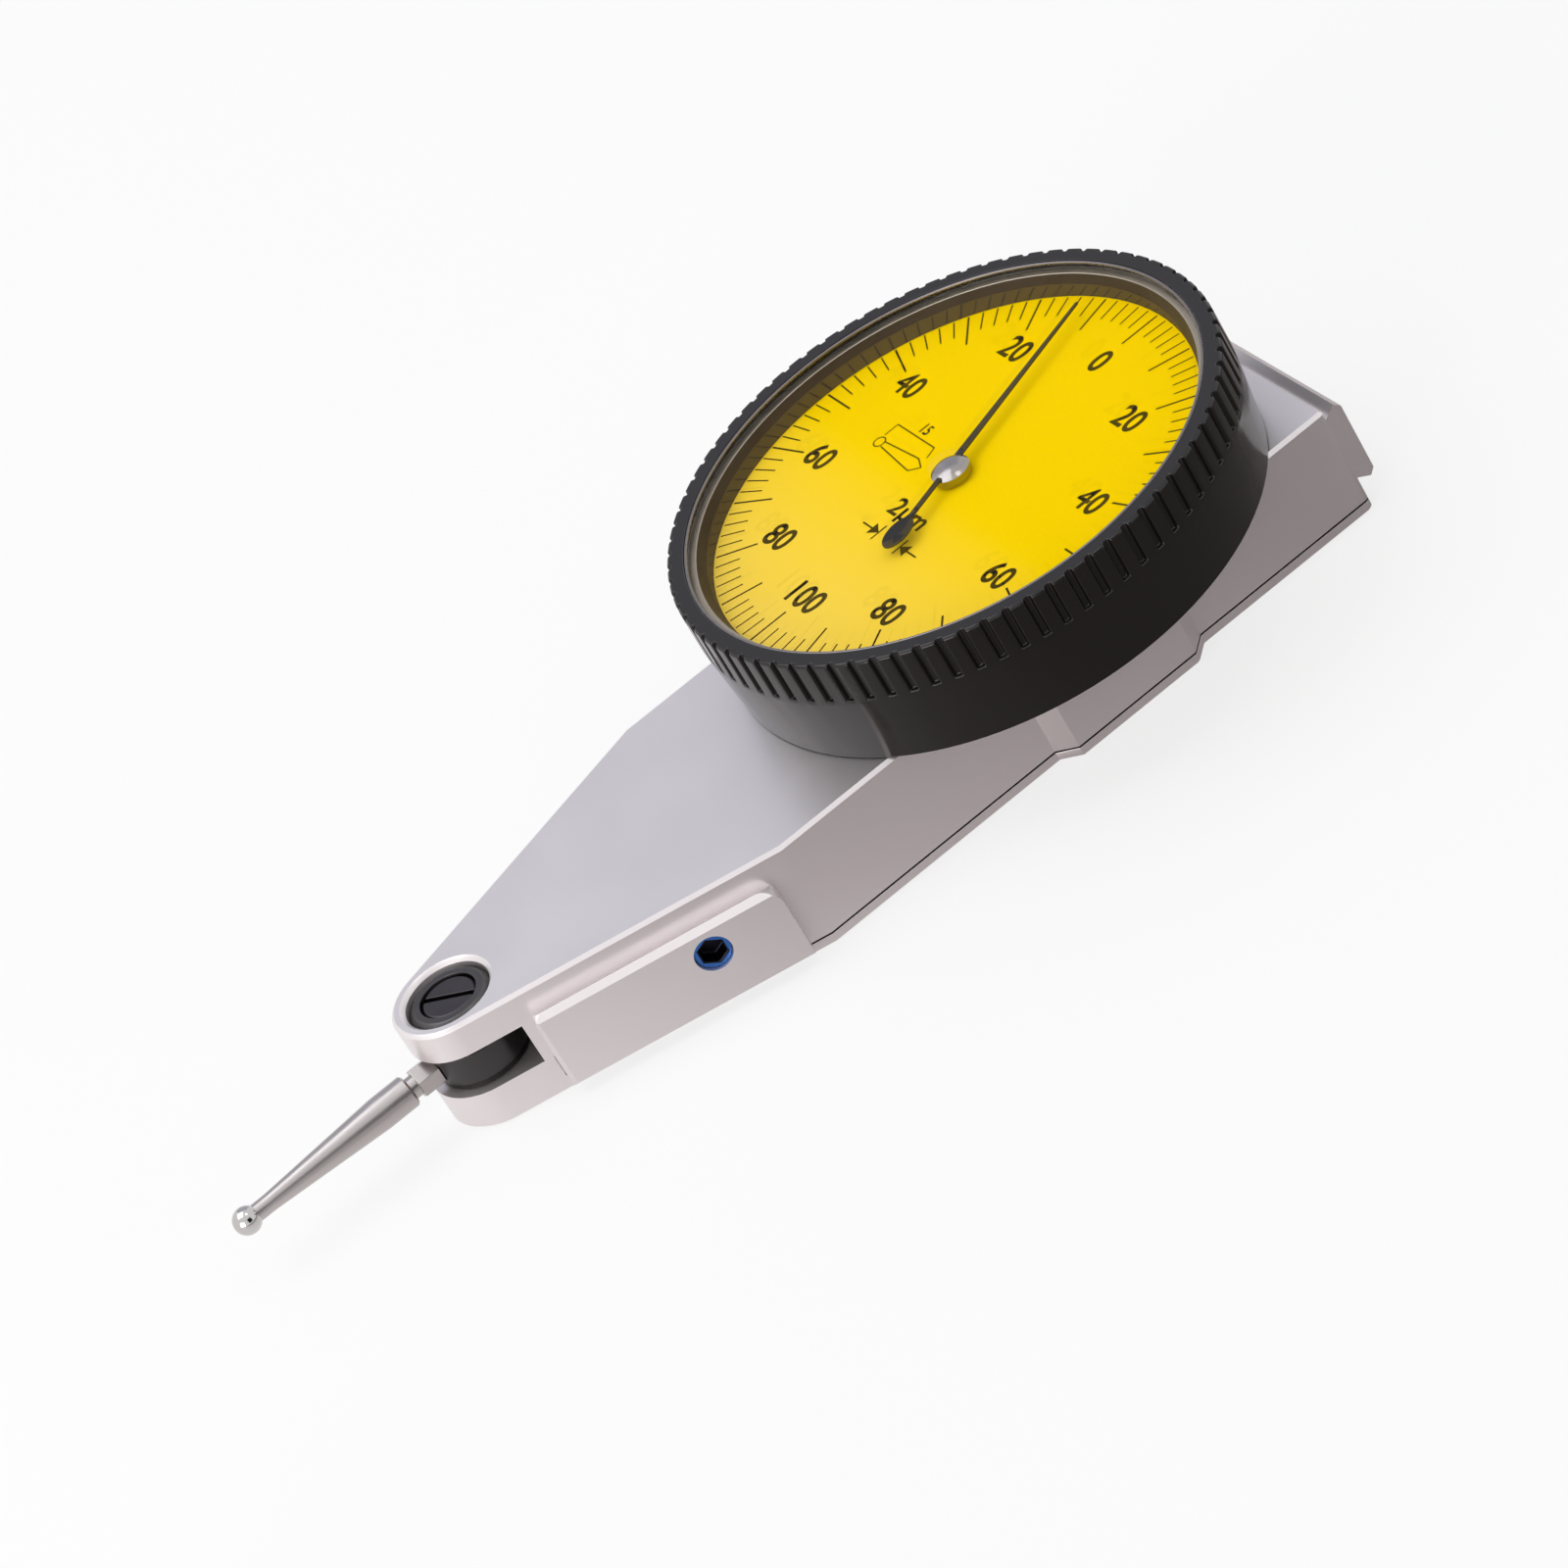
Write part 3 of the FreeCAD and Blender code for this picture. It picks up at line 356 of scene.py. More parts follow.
# Node groups that several finishes share
def new_group(name, inputs, outputs):
    """An empty shader group with named inputs and outputs."""
    group = bpy.data.node_groups.new(name, "ShaderNodeTree")
    for label, value in inputs.items():
        socket = group.interface.new_socket(label, in_out="INPUT", socket_type="NodeSocketFloat")
        socket.default_value = value
    for label, kind in outputs.items():
        group.interface.new_socket(label, in_out="OUTPUT", socket_type=kind)
    return group, group.nodes.new("NodeGroupInput"), group.nodes.new("NodeGroupOutput")


def noise(tree, scale, detail, roughness):
    """A noise on Object coordinates, at a scale that a group is given."""
    place = tree.nodes.new("ShaderNodeTexCoord")
    node = tree.nodes.new("ShaderNodeTexNoise")
    node.inputs["Detail"].default_value = detail
    node.inputs["Roughness"].default_value = roughness
    tree.links.new(place.outputs["Object"], node.inputs["Vector"])
    tree.links.new(scale, node.inputs["Scale"])
    return node.outputs["Fac"]


def spread(tree, source, low=0.0, high=1.0, to_low=0.0, to_high=1.0):
    """Maps a value from one range to another, clamped."""
    node = tree.nodes.new("ShaderNodeMapRange")
    node.inputs["From Min"].default_value = low
    node.inputs["From Max"].default_value = high
    node.inputs["To Min"].default_value = to_low
    node.inputs["To Max"].default_value = to_high
    tree.links.new(source, node.inputs["Value"])
    return node.outputs["Result"]


def times(tree, a, b):
    """The product of two values."""
    node = tree.nodes.new("ShaderNodeMath")
    node.operation = "MULTIPLY"
    tree.links.new(a, node.inputs[0])
    tree.links.new(b, node.inputs[1])
    return node.outputs["Value"]


def build_satin_grain():
    """Fine blasted grain and the faint blotches that handling leaves on it."""
    group, given, out = new_group(
        "satin_grain",
        {"Grain Scale": 9000.0, "Blotch Scale": 140.0},
        {"Height": "NodeSocketFloat", "Blotches": "NodeSocketFloat"},
    )
    grain = noise(group, given.outputs["Grain Scale"], detail=3.0, roughness=0.7)
    blotches = noise(group, given.outputs["Blotch Scale"], detail=4.0, roughness=0.55)
    group.links.new(grain, out.inputs["Height"])
    mask = spread(group, blotches, low=0.35, high=0.7)
    group.links.new(mask, out.inputs["Blotches"])
    return group


def build_edge_wear_and_highlight():
    """A mask of convex edges, broken up by a noise, for edge wear and painted edge highlights."""
    group, given, out = new_group(
        "edge_wear_and_highlight",
        {"Width": 0.07 * mm, "Break Up Scale": 1200.0},
        {"Mask": "NodeSocketFloat"},
    )
    rounded = group.nodes.new("ShaderNodeBevel")
    rounded.samples = 4
    flat = group.nodes.new("ShaderNodeNewGeometry")
    lean = group.nodes.new("ShaderNodeVectorMath")
    lean.operation = "DOT_PRODUCT"
    group.links.new(given.outputs["Width"], rounded.inputs["Radius"])
    group.links.new(rounded.outputs["Normal"], lean.inputs[0])
    group.links.new(flat.outputs["Normal"], lean.inputs[1])
    edge = spread(group, lean.outputs["Value"], low=0.995, high=0.9)
    breaks = noise(group, given.outputs["Break Up Scale"], detail=3.0, roughness=0.6)
    kept = spread(group, breaks, low=0.35, high=0.6, to_low=0.25)
    group.links.new(times(group, edge, kept), out.inputs["Mask"])
    return group


def build_turning_marks():
    """Fine rings about an upright axis, as a lathe leaves them."""
    group, given, out = new_group(
        "turning_marks",
        {"Centre X": 0.0, "Ring Scale": 9000.0},
        {"Height": "NodeSocketFloat"},
    )
    place = group.nodes.new("ShaderNodeTexCoord")
    parts = group.nodes.new("ShaderNodeSeparateXYZ")
    from_axis = group.nodes.new("ShaderNodeMath")
    from_axis.operation = "SUBTRACT"
    flat = group.nodes.new("ShaderNodeCombineXYZ")
    reach = group.nodes.new("ShaderNodeVectorMath")
    reach.operation = "LENGTH"
    rings = group.nodes.new("ShaderNodeTexNoise")
    rings.noise_dimensions = "1D"
    group.links.new(place.outputs["Object"], parts.inputs["Vector"])
    group.links.new(parts.outputs["X"], from_axis.inputs[0])
    group.links.new(given.outputs["Centre X"], from_axis.inputs[1])
    group.links.new(from_axis.outputs["Value"], flat.inputs["X"])
    group.links.new(parts.outputs["Y"], flat.inputs["Y"])
    group.links.new(flat.outputs["Vector"], reach.inputs[0])
    group.links.new(reach.outputs["Value"], rings.inputs["W"])
    group.links.new(given.outputs["Ring Scale"], rings.inputs["Scale"])
    group.links.new(rings.outputs["Fac"], out.inputs["Height"])
    return group


satin_grain = build_satin_grain()
edge_wear_and_highlight = build_edge_wear_and_highlight()
turning_marks = build_turning_marks()


def placed(tree, group, **values):
    """A group in a material, with its own values."""
    node = tree.nodes.new("ShaderNodeGroup")
    node.node_tree = group
    for label, value in values.items():
        node.inputs[label.replace("_", " ")].default_value = value
    return node


def new_material(name, colour, roughness, metallic=0.0, **sockets):
    """A material with one Principled shader."""
    material = bpy.data.materials.new(name)
    material.use_nodes = True
    material.diffuse_color = (*colour, 1)
    shader = material.node_tree.nodes["Principled BSDF"]
    shader.inputs["Base Color"].default_value = (*colour, 1)
    shader.inputs["Roughness"].default_value = roughness
    shader.inputs["Metallic"].default_value = metallic
    for label, value in sockets.items():
        shader.inputs[label.replace("_", " ")].default_value = value
    return material, material.node_tree, shader


def mix_colours(tree, mask, plain, other):
    """Goes from one colour to another by a mask."""
    node = tree.nodes.new("ShaderNodeMix")
    node.data_type = "RGBA"
    node.inputs["A"].default_value = (*plain, 1)
    node.inputs["B"].default_value = (*other, 1)
    tree.links.new(mask, node.inputs["Factor"])
    return node.outputs["Result"]


def bump(tree, shader, height, distance):
    """Bends the shader's normal by a height."""
    node = tree.nodes.new("ShaderNodeBump")
    node.inputs["Distance"].default_value = distance
    tree.links.new(height, node.inputs["Height"])
    tree.links.new(node.outputs["Normal"], shader.inputs["Normal"])


def two_tone(tree, shader, mask, plain, other):
    """Goes from one base colour to another by a mask."""
    tree.links.new(mix_colours(tree, mask, plain, other), shader.inputs["Base Color"])


def uneven_gloss(tree, shader, mask, low, high):
    """Spreads the roughness between two values by a mask."""
    roughness = spread(tree, mask, to_low=low, to_high=high)
    tree.links.new(roughness, shader.inputs["Roughness"])


def worn_highlit_metal(name, colour, worn_edge_highlight, roughness, gloss_spread, metallic=1.0):
    """Satin metal with grain, blotches and edges made paler, partly as wear and partly as a
    painted highlight.
    """
    material, tree, shader = new_material(name, colour, roughness, metallic)
    surface = placed(tree, satin_grain)
    wear_and_highlight = placed(tree, edge_wear_and_highlight)
    # Edges get a paler base colour: partly wear, partly a painted highlight.
    two_tone(tree, shader, wear_and_highlight.outputs["Mask"], colour, worn_edge_highlight)
    uneven_gloss(tree, shader, surface.outputs["Blotches"], roughness, roughness + gloss_spread)
    bump(tree, shader, surface.outputs["Height"], grain_height)
    return material


def lathe_metal(name, colour, roughness, centre_x, gloss_spread=0.12):
    """Turned metal with fine rings and uneven gloss."""
    material, tree, shader = new_material(name, colour, roughness, metallic=1.0)
    rings = placed(tree, turning_marks, Centre_X=centre_x)
    surface = placed(tree, satin_grain, Blotch_Scale=900.0)
    uneven_gloss(tree, shader, surface.outputs["Blotches"], roughness, roughness + gloss_spread)
    bump(tree, shader, rings.outputs["Height"], mark_height)
    return material


def polished_metal(name, colour, roughness, gloss_spread=0.06):
    """Bright metal with faint uneven gloss."""
    material, tree, shader = new_material(name, colour, roughness, metallic=1.0)
    surface = placed(tree, satin_grain, Blotch_Scale=500.0)
    uneven_gloss(tree, shader, surface.outputs["Blotches"], roughness, roughness + gloss_spread)
    return material


def black_finish():
    """Deep black, half gloss, with its edges a little paler, partly as wear and partly as a
    painted highlight.
    """
    deep = (0.008, 0.006, 0.006)
    rubbed_edge_highlight = (0.09, 0.085, 0.085)
    material, tree, shader = new_material(
        "bezel_black", deep, roughness=0.12, Specular_IOR_Level=0.42
    )
    surface = placed(tree, satin_grain, Grain_Scale=7000.0, Blotch_Scale=200.0)
    wear_and_highlight = placed(tree, edge_wear_and_highlight)
    # Edges get a paler black: partly wear, partly a painted highlight.
    two_tone(tree, shader, wear_and_highlight.outputs["Mask"], deep, rubbed_edge_highlight)
    uneven_gloss(tree, shader, surface.outputs["Blotches"], low=0.11, high=0.17)
    bump(tree, shader, surface.outputs["Height"], black_grain_height)
    return material


def matt_black(name, deep, pale):
    """A dull dark finish, used as painted shade in the groove above the cover and for the bezel's
    inner wall.
    """
    material, tree, shader = new_material(name, deep, roughness=0.6, Specular_IOR_Level=0.2)
    surface = placed(tree, satin_grain, Grain_Scale=6000.0, Blotch_Scale=300.0)
    two_tone(tree, shader, surface.outputs["Blotches"], deep, pale)
    bump(tree, shader, surface.outputs["Height"], black_grain_height)
    return material


def crystal_glass():
    """Clear crystal that lets the light through to the dial, a little dusty on its outside."""
    tint = (0.97, 0.98, 1.0)
    material, tree, shader = new_material(
        "crystal_clear", tint, roughness=0.0, Transmission_Weight=1.0, IOR=1.47
    )
    dust = placed(tree, satin_grain, Grain_Scale=4000.0, Blotch_Scale=60.0)
    haze = spread(tree, dust.outputs["Blotches"], to_low=0.06, to_high=0.08)
    side = tree.nodes.new("ShaderNodeNewGeometry")
    outer = spread(tree, side.outputs["Backfacing"], to_low=1.0, to_high=0.0)
    tree.links.new(times(tree, haze, outer), shader.inputs["Alpha"])
    return material


def dial_paint():
    """Printed yellow, a little uneven, and paler towards the stylus as a painted sheen."""
    strong = (1.0, 0.675, 0.0)
    pale = (1.0, 0.71, 0.11)
    material, tree, shader = new_material(
        "dial_yellow", strong, roughness=0.7, Specular_IOR_Level=0.0
    )
    surface = placed(tree, satin_grain, Grain_Scale=5000.0, Blotch_Scale=90.0)
    uneven = spread(tree, surface.outputs["Blotches"], to_low=0.85)
    place = tree.nodes.new("ShaderNodeTexCoord")
    parts = tree.nodes.new("ShaderNodeSeparateXYZ")
    tree.links.new(place.outputs["Object"], parts.inputs["Vector"])
    # The yellow pales towards -X: a painted sheen.
    painted_sheen = spread(tree, parts.outputs["X"], low=painted_sheen_start, high=painted_sheen_end)
    two_tone(tree, shader, times(tree, painted_sheen, uneven), strong, pale)
    bump(tree, shader, surface.outputs["Height"], mark_height)
    return material


def ink():
    """Dark print, worn a little paler in places."""
    dark = (0.018, 0.012, 0.006)
    worn = (0.03, 0.02, 0.01)
    material, tree, shader = new_material("dial_ink", dark, roughness=0.7, Specular_IOR_Level=0.0)
    surface = placed(tree, satin_grain, Grain_Scale=14000.0, Blotch_Scale=900.0)
    two_tone(tree, shader, surface.outputs["Blotches"], dark, worn)
    return material


# Finishes of the metal
case_satin = worn_highlit_metal(
    "case_satin",
    colour=(0.78, 0.735, 0.745),
    worn_edge_highlight=(0.92, 0.88, 0.89),
    roughness=0.34,
    gloss_spread=0.06,
    metallic=0.85,
)
cover_satin = worn_highlit_metal(
    "cover_satin",
    colour=(0.76, 0.715, 0.725),
    worn_edge_highlight=(0.92, 0.88, 0.89),
    roughness=0.36,
    gloss_spread=0.06,
    metallic=0.85,
)
# The lever is near black as painted shade in the gap under the drum.
lever_dark_painted_shade = worn_highlit_metal(
    "lever_dark_painted_shade",
    colour=(0.035, 0.032, 0.032),
    worn_edge_highlight=(0.1, 0.09, 0.09),
    roughness=0.35,
    gloss_spread=0.1,
)
blued_steel = worn_highlit_metal(
    "blued_steel",
    colour=(0.02, 0.02, 0.03),
    worn_edge_highlight=(0.06, 0.1, 0.3),
    roughness=0.3,
    gloss_spread=0.08,
)
blued_rim_highlight = worn_highlit_metal(
    "blued_rim_highlight",
    colour=(0.06, 0.2, 0.6),
    worn_edge_highlight=(0.25, 0.5, 1.0),
    roughness=0.25,
    gloss_spread=0.08,
)
bronze = worn_highlit_metal(
    "washer_bronze",
    colour=(0.7, 0.38, 0.14),
    worn_edge_highlight=(0.9, 0.6, 0.3),
    roughness=0.3,
    gloss_spread=0.1,
)
plain_steel = worn_highlit_metal(
    "plain_steel",
    colour=(0.5, 0.5, 0.52),
    worn_edge_highlight=(0.8, 0.8, 0.82),
    roughness=0.3,
    gloss_spread=0.1,
)
cut_brass = worn_highlit_metal(
    "cut_brass",
    colour=(0.75, 0.55, 0.2),
    worn_edge_highlight=(0.9, 0.75, 0.4),
    roughness=0.28,
    gloss_spread=0.1,
)
spring_steel = worn_highlit_metal(
    "hairspring_steel",
    colour=(0.35, 0.4, 0.55),
    worn_edge_highlight=(0.6, 0.65, 0.75),
    roughness=0.25,
    gloss_spread=0.1,
)
hand_dark = worn_highlit_metal(
    "hand_dark",
    colour=(0.012, 0.01, 0.008),
    worn_edge_highlight=(0.05, 0.045, 0.04),
    roughness=0.45,
    gloss_spread=0.1,
    metallic=0.5,
)
ring_steel = lathe_metal("ring_steel", colour=(0.24, 0.22, 0.22), roughness=0.25, centre_x=0.0)
bare_ledge = lathe_metal("bare_ledge", colour=(0.4, 0.35, 0.28), roughness=0.4, centre_x=0.0)
drum_dark = lathe_metal(
    "drum_dark", colour=(0.07, 0.066, 0.068), roughness=0.3, centre_x=pivot_x
)
ring_grey = lathe_metal(
    "lock_ring_grey", colour=(0.1, 0.095, 0.097), roughness=0.26, centre_x=pivot_x
)
pivot_dark = lathe_metal(
    "pivot_screw_dark", colour=(0.07, 0.065, 0.07), roughness=0.28, centre_x=pivot_x
)
stylus_steel = polished_metal("stylus_bright", colour=(0.46, 0.43, 0.425), roughness=0.28)
ball_chrome = polished_metal("ball_chrome", colour=(0.55, 0.53, 0.53), roughness=0.08)
hub_bright = polished_metal("hub_bright", colour=(0.33, 0.31, 0.31), roughness=0.16)

# Finishes of the rest
bezel_black = black_finish()
# Dull black inner wall; its brown tint is painted light reflected from the yellow dial.
bezel_inside_painted_dial_light = matt_black("bezel_inside_painted_dial_light", deep=(0.045, 0.031, 0.018), pale=(0.055, 0.04, 0.024))
groove_painted_shade = matt_black("groove_painted_shade", deep=(0.012, 0.01, 0.01), pale=(0.02, 0.018, 0.018))
ruby = new_material(
    "ruby_jewel", colour=(0.5, 0.01, 0.06), roughness=0.1, Transmission_Weight=0.6
)[0]
clear = crystal_glass()
yellow = dial_paint()
dark_ink = ink()

finishes = {
    case_satin: ["body_case"],
    cover_satin: ["back_cover"],
    bezel_black: ["bezel"],
    ring_steel: ["crystal_retaining_ring"],
    drum_dark: ["stylus_drum"],
    bronze: ["clutch_washer"],
    ring_grey: ["pivot_lock_ring"],
    pivot_dark: ["upper_pivot_screw", "lower_pivot_screw"],
    blued_steel: ["side_set_screw"],
    plain_steel: [
        "cover_screws",
        "bridge_screws",
        "pivot_shaft",
        "intermediate_arbor",
        "centre_arbor",
        "bezel_press_ring",
    ],
    cut_brass: [
        "sector_gear",
        "sector_rivets",
        "intermediate_wheel",
        "movement_bridge",
        "hairspring_collet",
        "hairspring_stud",
        "dial_keys",
    ],
    lever_dark_painted_shade: ["transmission_lever"],
    spring_steel: ["hairspring"],
    stylus_steel: ["stylus_shank"],
    ball_chrome: ["stylus_ball"],
    ruby: ["jewel_bearings"],
    yellow: ["dial_plate"],
    clear: ["crystal"],
    hand_dark: ["pointer_hand"],
    hub_bright: ["pointer_hub"],
}


def finish_solids():
    """Gives every solid its finish."""
    for material, names in finishes.items():
        for name in names:
            nodes[name].data.materials.clear()
            nodes[name].data.materials.append(material)


# Pieces that stand for solids
def metal_case():
    """Case, cover, lock ring and screws, with their edges broken."""
    finish_piece(refined("body_case", case_edge), "case", case_satin, "body_case")
    cover = refined("back_cover", fine_edge)
    finish_piece(cover, "case", cover_satin, "back_cover")
    groove_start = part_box("back_cover")[1].z - groove_height
    # The groove's faces are painted near black: painted shade in the gap between cover and case.
    paint(cover, groove_painted_shade, lambda corner: corner.z > groove_start)
    blued_screw()
    finish_piece(refined("pivot_lock_ring", fine_edge), "case", ring_grey, "pivot_lock_ring")
    finish_piece(refined("upper_pivot_screw", fine_edge), "case", pivot_dark, "upper_pivot_screw")
    finish_piece(refined("lower_pivot_screw", fine_edge), "case", pivot_dark, "lower_pivot_screw")
    finish_piece(refined("cover_screws", fine_edge), "case", plain_steel, "cover_screws")


def blued_screw():
    """The recessed blued screw in the side rail, its rim painted a brighter blue as a highlight.
    """
    low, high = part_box("side_set_screw")
    centre = (low + high) / 2
    rail = Vector(mounts["side_dovetail_right"]["axis"])
    outwards = Vector((-rail.y, rail.x, 0))
    radius = (high.z - low.z) / 2

    def on_rim(corner):
        reach = corner - centre
        height = reach.dot(outwards)
        return height > 0 and (reach - outwards * height).length > radius - blued_width

    screw = refined("side_set_screw", blued_width, round_steps)
    finish_piece(screw, "case", blued_steel, "side_set_screw")
    # The rim is painted a bright blue: a painted highlight on the dark blued screw.
    paint(screw, blued_rim_highlight, on_rim)


def stylus_profile():
    """Distance from the ball's centre and radius, along the turned shank and its stud."""
    tip = math.sqrt(ball_radius**2 - ball_flat**2)
    widest = shank_high.y
    seat = drum_flat_x - ball_x
    shank_end = seat - collar_length - neck_length
    stud_end = shank_high.x - ball_x
    return [
        (ball_flat, 0),
        (ball_flat, tip),
        (tip_length, tip),
        (shank_end - shank_length, widest),
        (shank_end - shank_chamfer, widest),
        (shank_end, widest - shank_chamfer),
        (shank_end, neck_radius),
        (seat, neck_radius),
        (seat, stud_radius),
        (stud_end, stud_radius),
        (stud_end, 0),
    ]


def stylus_collar():
    """The hexagon collar, its corners up and down, its ends broken."""
    deselect()
    corner = collar_across_flats / (2 * math.cos(math.pi / hexagon_sides))
    bpy.ops.mesh.primitive_cylinder_add(vertices=hexagon_sides, radius=corner, depth=collar_length)
    collar = bpy.context.object
    bpy.ops.object.mode_set(mode="EDIT")
    bpy.ops.mesh.select_all(action="SELECT")
    bpy.ops.transform.rotate(
        value=math.pi / hexagon_sides, orient_axis="Z", center_override=(0, 0, 0)
    )
    deselect()
    collar.rotation_euler.y = quarter_turn
    collar.location = (drum_flat_x - collar_length / 2, 0, stylus_z)
    settle(collar)
    break_edges(collar, fine_edge)
    return collar


def stylus():
    """Drum, shank and ball."""
    finish_piece(refined("stylus_drum", fine_edge), "stylus", drum_dark, "stylus_drum")
    centre = Vector((ball_x, 0, stylus_z))
    turned = turned_piece("shank_turned", stylus_profile(), centre, ALONG)
    shank = joined([turned, stylus_collar()])
    smooth(shank)
    finish_piece(shank, "stylus", stylus_steel, "stylus_shank")
    flat_edge = math.degrees(math.acos(ball_flat / ball_radius))
    sphere = arc(0.0, ball_radius, 180, flat_edge, ball_arc_steps) + [(ball_flat, 0)]
    ball = turned_piece("ball_polished", sphere, centre, ALONG, ball_steps)
    smooth(ball)
    finish_piece(ball, "stylus", ball_chrome, "stylus_ball")


def bezel_ring():
    """The knurled bezel, dull inside with a brown tint of painted light from the yellow dial, bare
    on its ledge, and the thin ring in its rim.
    """
    knurled = refined("bezel", knurl_edge, round_steps)
    finish_piece(knurled, "bezel_group", bezel_black, "bezel")
    ledge_start = opening_end - 2 * knurl_edge

    def in_opening(corner):
        reach = math.hypot(corner.x, corner.y)
        return opening_start < reach < opening_end and dial_z - fine_edge < corner.z < ledge_z

    def on_ledge(corner):
        reach = math.hypot(corner.x, corner.y)
        return ledge_start < reach < ring_high.x and abs(corner.z - ledge_z) < fine_edge

    paint(knurled, bezel_inside_painted_dial_light, in_opening)
    paint(knurled, bare_ledge, on_ledge)
    height = ring_high.z - ring_low.z
    outer, inner = ring_high.x, ring_high.x - ring_width
    section = [(0, inner), (0, outer), (height, outer), (height, inner), (0, inner)]
    snap_ring = turned_piece("crystal_snap_ring", section, UP * ring_low.z, UP, ring_steps)
    break_edges(snap_ring, ring_edge, round_steps)
    smooth(snap_ring)
    finish_piece(snap_ring, "bezel_group", ring_steel, "crystal_retaining_ring")


def polished_crystal():
    """The crystal, its edge rounded, a hair clear of its seat."""
    height = crystal_high.z - crystal_low.z - 2 * seat_gap
    radius = crystal_high.x - seat_gap
    section = [(0, 0), (0, radius), (height, radius), (height, 0)]
    seat = UP * (ledge_z + seat_gap)
    crystal = turned_piece("crystal_polished", section, seat, UP, ring_steps)
    break_edges(crystal, fine_edge, round_steps)
    smooth(crystal)
    finish_piece(crystal, "bezel_group", clear, "crystal")


def domed_hub():
    """The hub of the hand, with its low dome."""
    height = hub_high.z - hub_low.z
    radius = (hub_radius**2 + dome_height**2) / (2 * dome_height)
    edge = math.degrees(math.asin(hub_radius / radius))
    crown = arc(height - radius, radius, edge, 0, dome_arc_steps)
    hub = turned_piece("hub_domed", [(0, 0), (0, hub_radius)] + crown, UP * hub_low.z, UP)
    smooth(hub)
    finish_piece(hub, "pointer", hub_bright, "pointer_hub")


# Print on the dial
def raise_ink(flat):
    """Gives flat ink its thickness and stays in edit mode."""
    settle(flat)
    bpy.ops.object.mode_set(mode="EDIT")
    bpy.ops.mesh.select_all(action="SELECT")
    bpy.ops.mesh.extrude_region_move(TRANSFORM_OT_translate={"value": (0, 0, ink_height)})
    face_outwards()


def ink_bar(name, start, end, width):
    """A bar of ink between two places on the dial."""
    deselect()
    middle = (start + end) / 2
    bpy.ops.mesh.primitive_plane_add(size=1, location=(middle.x, middle.y, dial_z))
    bar = bpy.context.object
    bar.name = name
    bar.scale = ((end - start).length, width, 1)
    bar.rotation_euler.z = math.atan2(end.y - start.y, end.x - start.x)
    raise_ink(bar)
    return bar


def ink_head(place, towards, size):
    """A filled arrow head at a place, pointing along a direction."""
    deselect()
    bpy.ops.mesh.primitive_circle_add(vertices=arrow_corners, radius=size, fill_type="NGON")
    head = bpy.context.object
    head.location = (place.x, place.y, dial_z)
    head.rotation_euler.z = math.atan2(towards.y, towards.x) - quarter_turn
    raise_ink(head)
    return head


def ink_circle(place, radius, width):
    """A thin circle of ink."""
    deselect()
    inner = radius - width / 2
    centre = (place.x, place.y, dial_z)
    bpy.ops.mesh.primitive_circle_add(vertices=circle_steps, radius=inner, location=centre)
    rim = bpy.context.object
    settle(rim)
    bpy.ops.object.mode_set(mode="EDIT")
    bpy.ops.mesh.select_all(action="SELECT")
    bpy.ops.mesh.extrude_edges_move()
    wider = (inner + width) / inner
    bpy.ops.transform.resize(value=(wider, wider, 1), center_override=centre)
    raise_ink(rim)
    return rim


def one_print(name, pieces):
    """Joins pieces of ink into one."""
    print_piece = joined(pieces)
    print_piece.name = name
    return finish_piece(print_piece, "bezel_group", dark_ink, slot="dial_plate")


def on_print(centre, along, up):
    """A place on the dial, so many millimetres along a sign's words and up from its centre."""
    return centre + Vector((up, -along, 0)) * mm


def turn_selected(angle):
    """Turns what is selected about the dial's axis, anticlockwise from above."""
    bpy.ops.transform.rotate(value=angle, orient_axis="Z", center_override=(0, 0, 0))


def spin_copies(steps, angle):
    """Copies what is selected about the dial's axis."""
    bpy.ops.mesh.spin(steps=steps, angle=angle, dupli=True, center=(0, 0, 0), axis=(0, 0, 1))


def tick_ring(name, start, width, places):
    """Bars at some places of one cell, copied all round the dial."""
    bar = ink_bar(name, ALONG * start, ALONG * tick_end, width)
    step = full_turn / tick_count
    turn_selected(step * places[0])
    if len(places) > 1:
        spin_copies(len(places) - 1, step * (places[-1] - places[0]))
    bpy.ops.mesh.select_all(action="SELECT")
    cells = tick_count // ticks_in_cell
    spin_copies(cells - 1, full_turn * (cells - 1) / cells)
    face_outwards()
    return finish_piece(bar, "bezel_group", dark_ink, slot="dial_plate")


def dial_text(name, words, height, place, stretch=label_stretch):
    """Words that read towards -Y with their tops towards +X, centred on a place."""
    deselect()
    bpy.ops.object.text_add()
    text = bpy.context.object
    text.name = name
    text.data.body = words
    text.data.align_x = "CENTER"
    text.data.align_y = "CENTER"
    text.data.extrude = ink_height / 2
    bpy.ops.object.convert(target="MESH")
    digits = bpy.context.object
    bpy.ops.object.mode_set(mode="EDIT")
    close_seams()
    bpy.ops.transform.shrink_fatten(value=label_weight)
    deselect()
    bpy.context.view_layer.update()
    size = digits.dimensions
    digits.scale = (height / size.y * stretch, height / size.y, ink_height / size.z)
    settle(digits)
    digits.rotation_euler = (0, 0, -quarter_turn)
    digits.location = (place.x, place.y, dial_z + ink_height / 2)
    return finish_piece(digits, "bezel_group", dark_ink, slot="dial_plate")


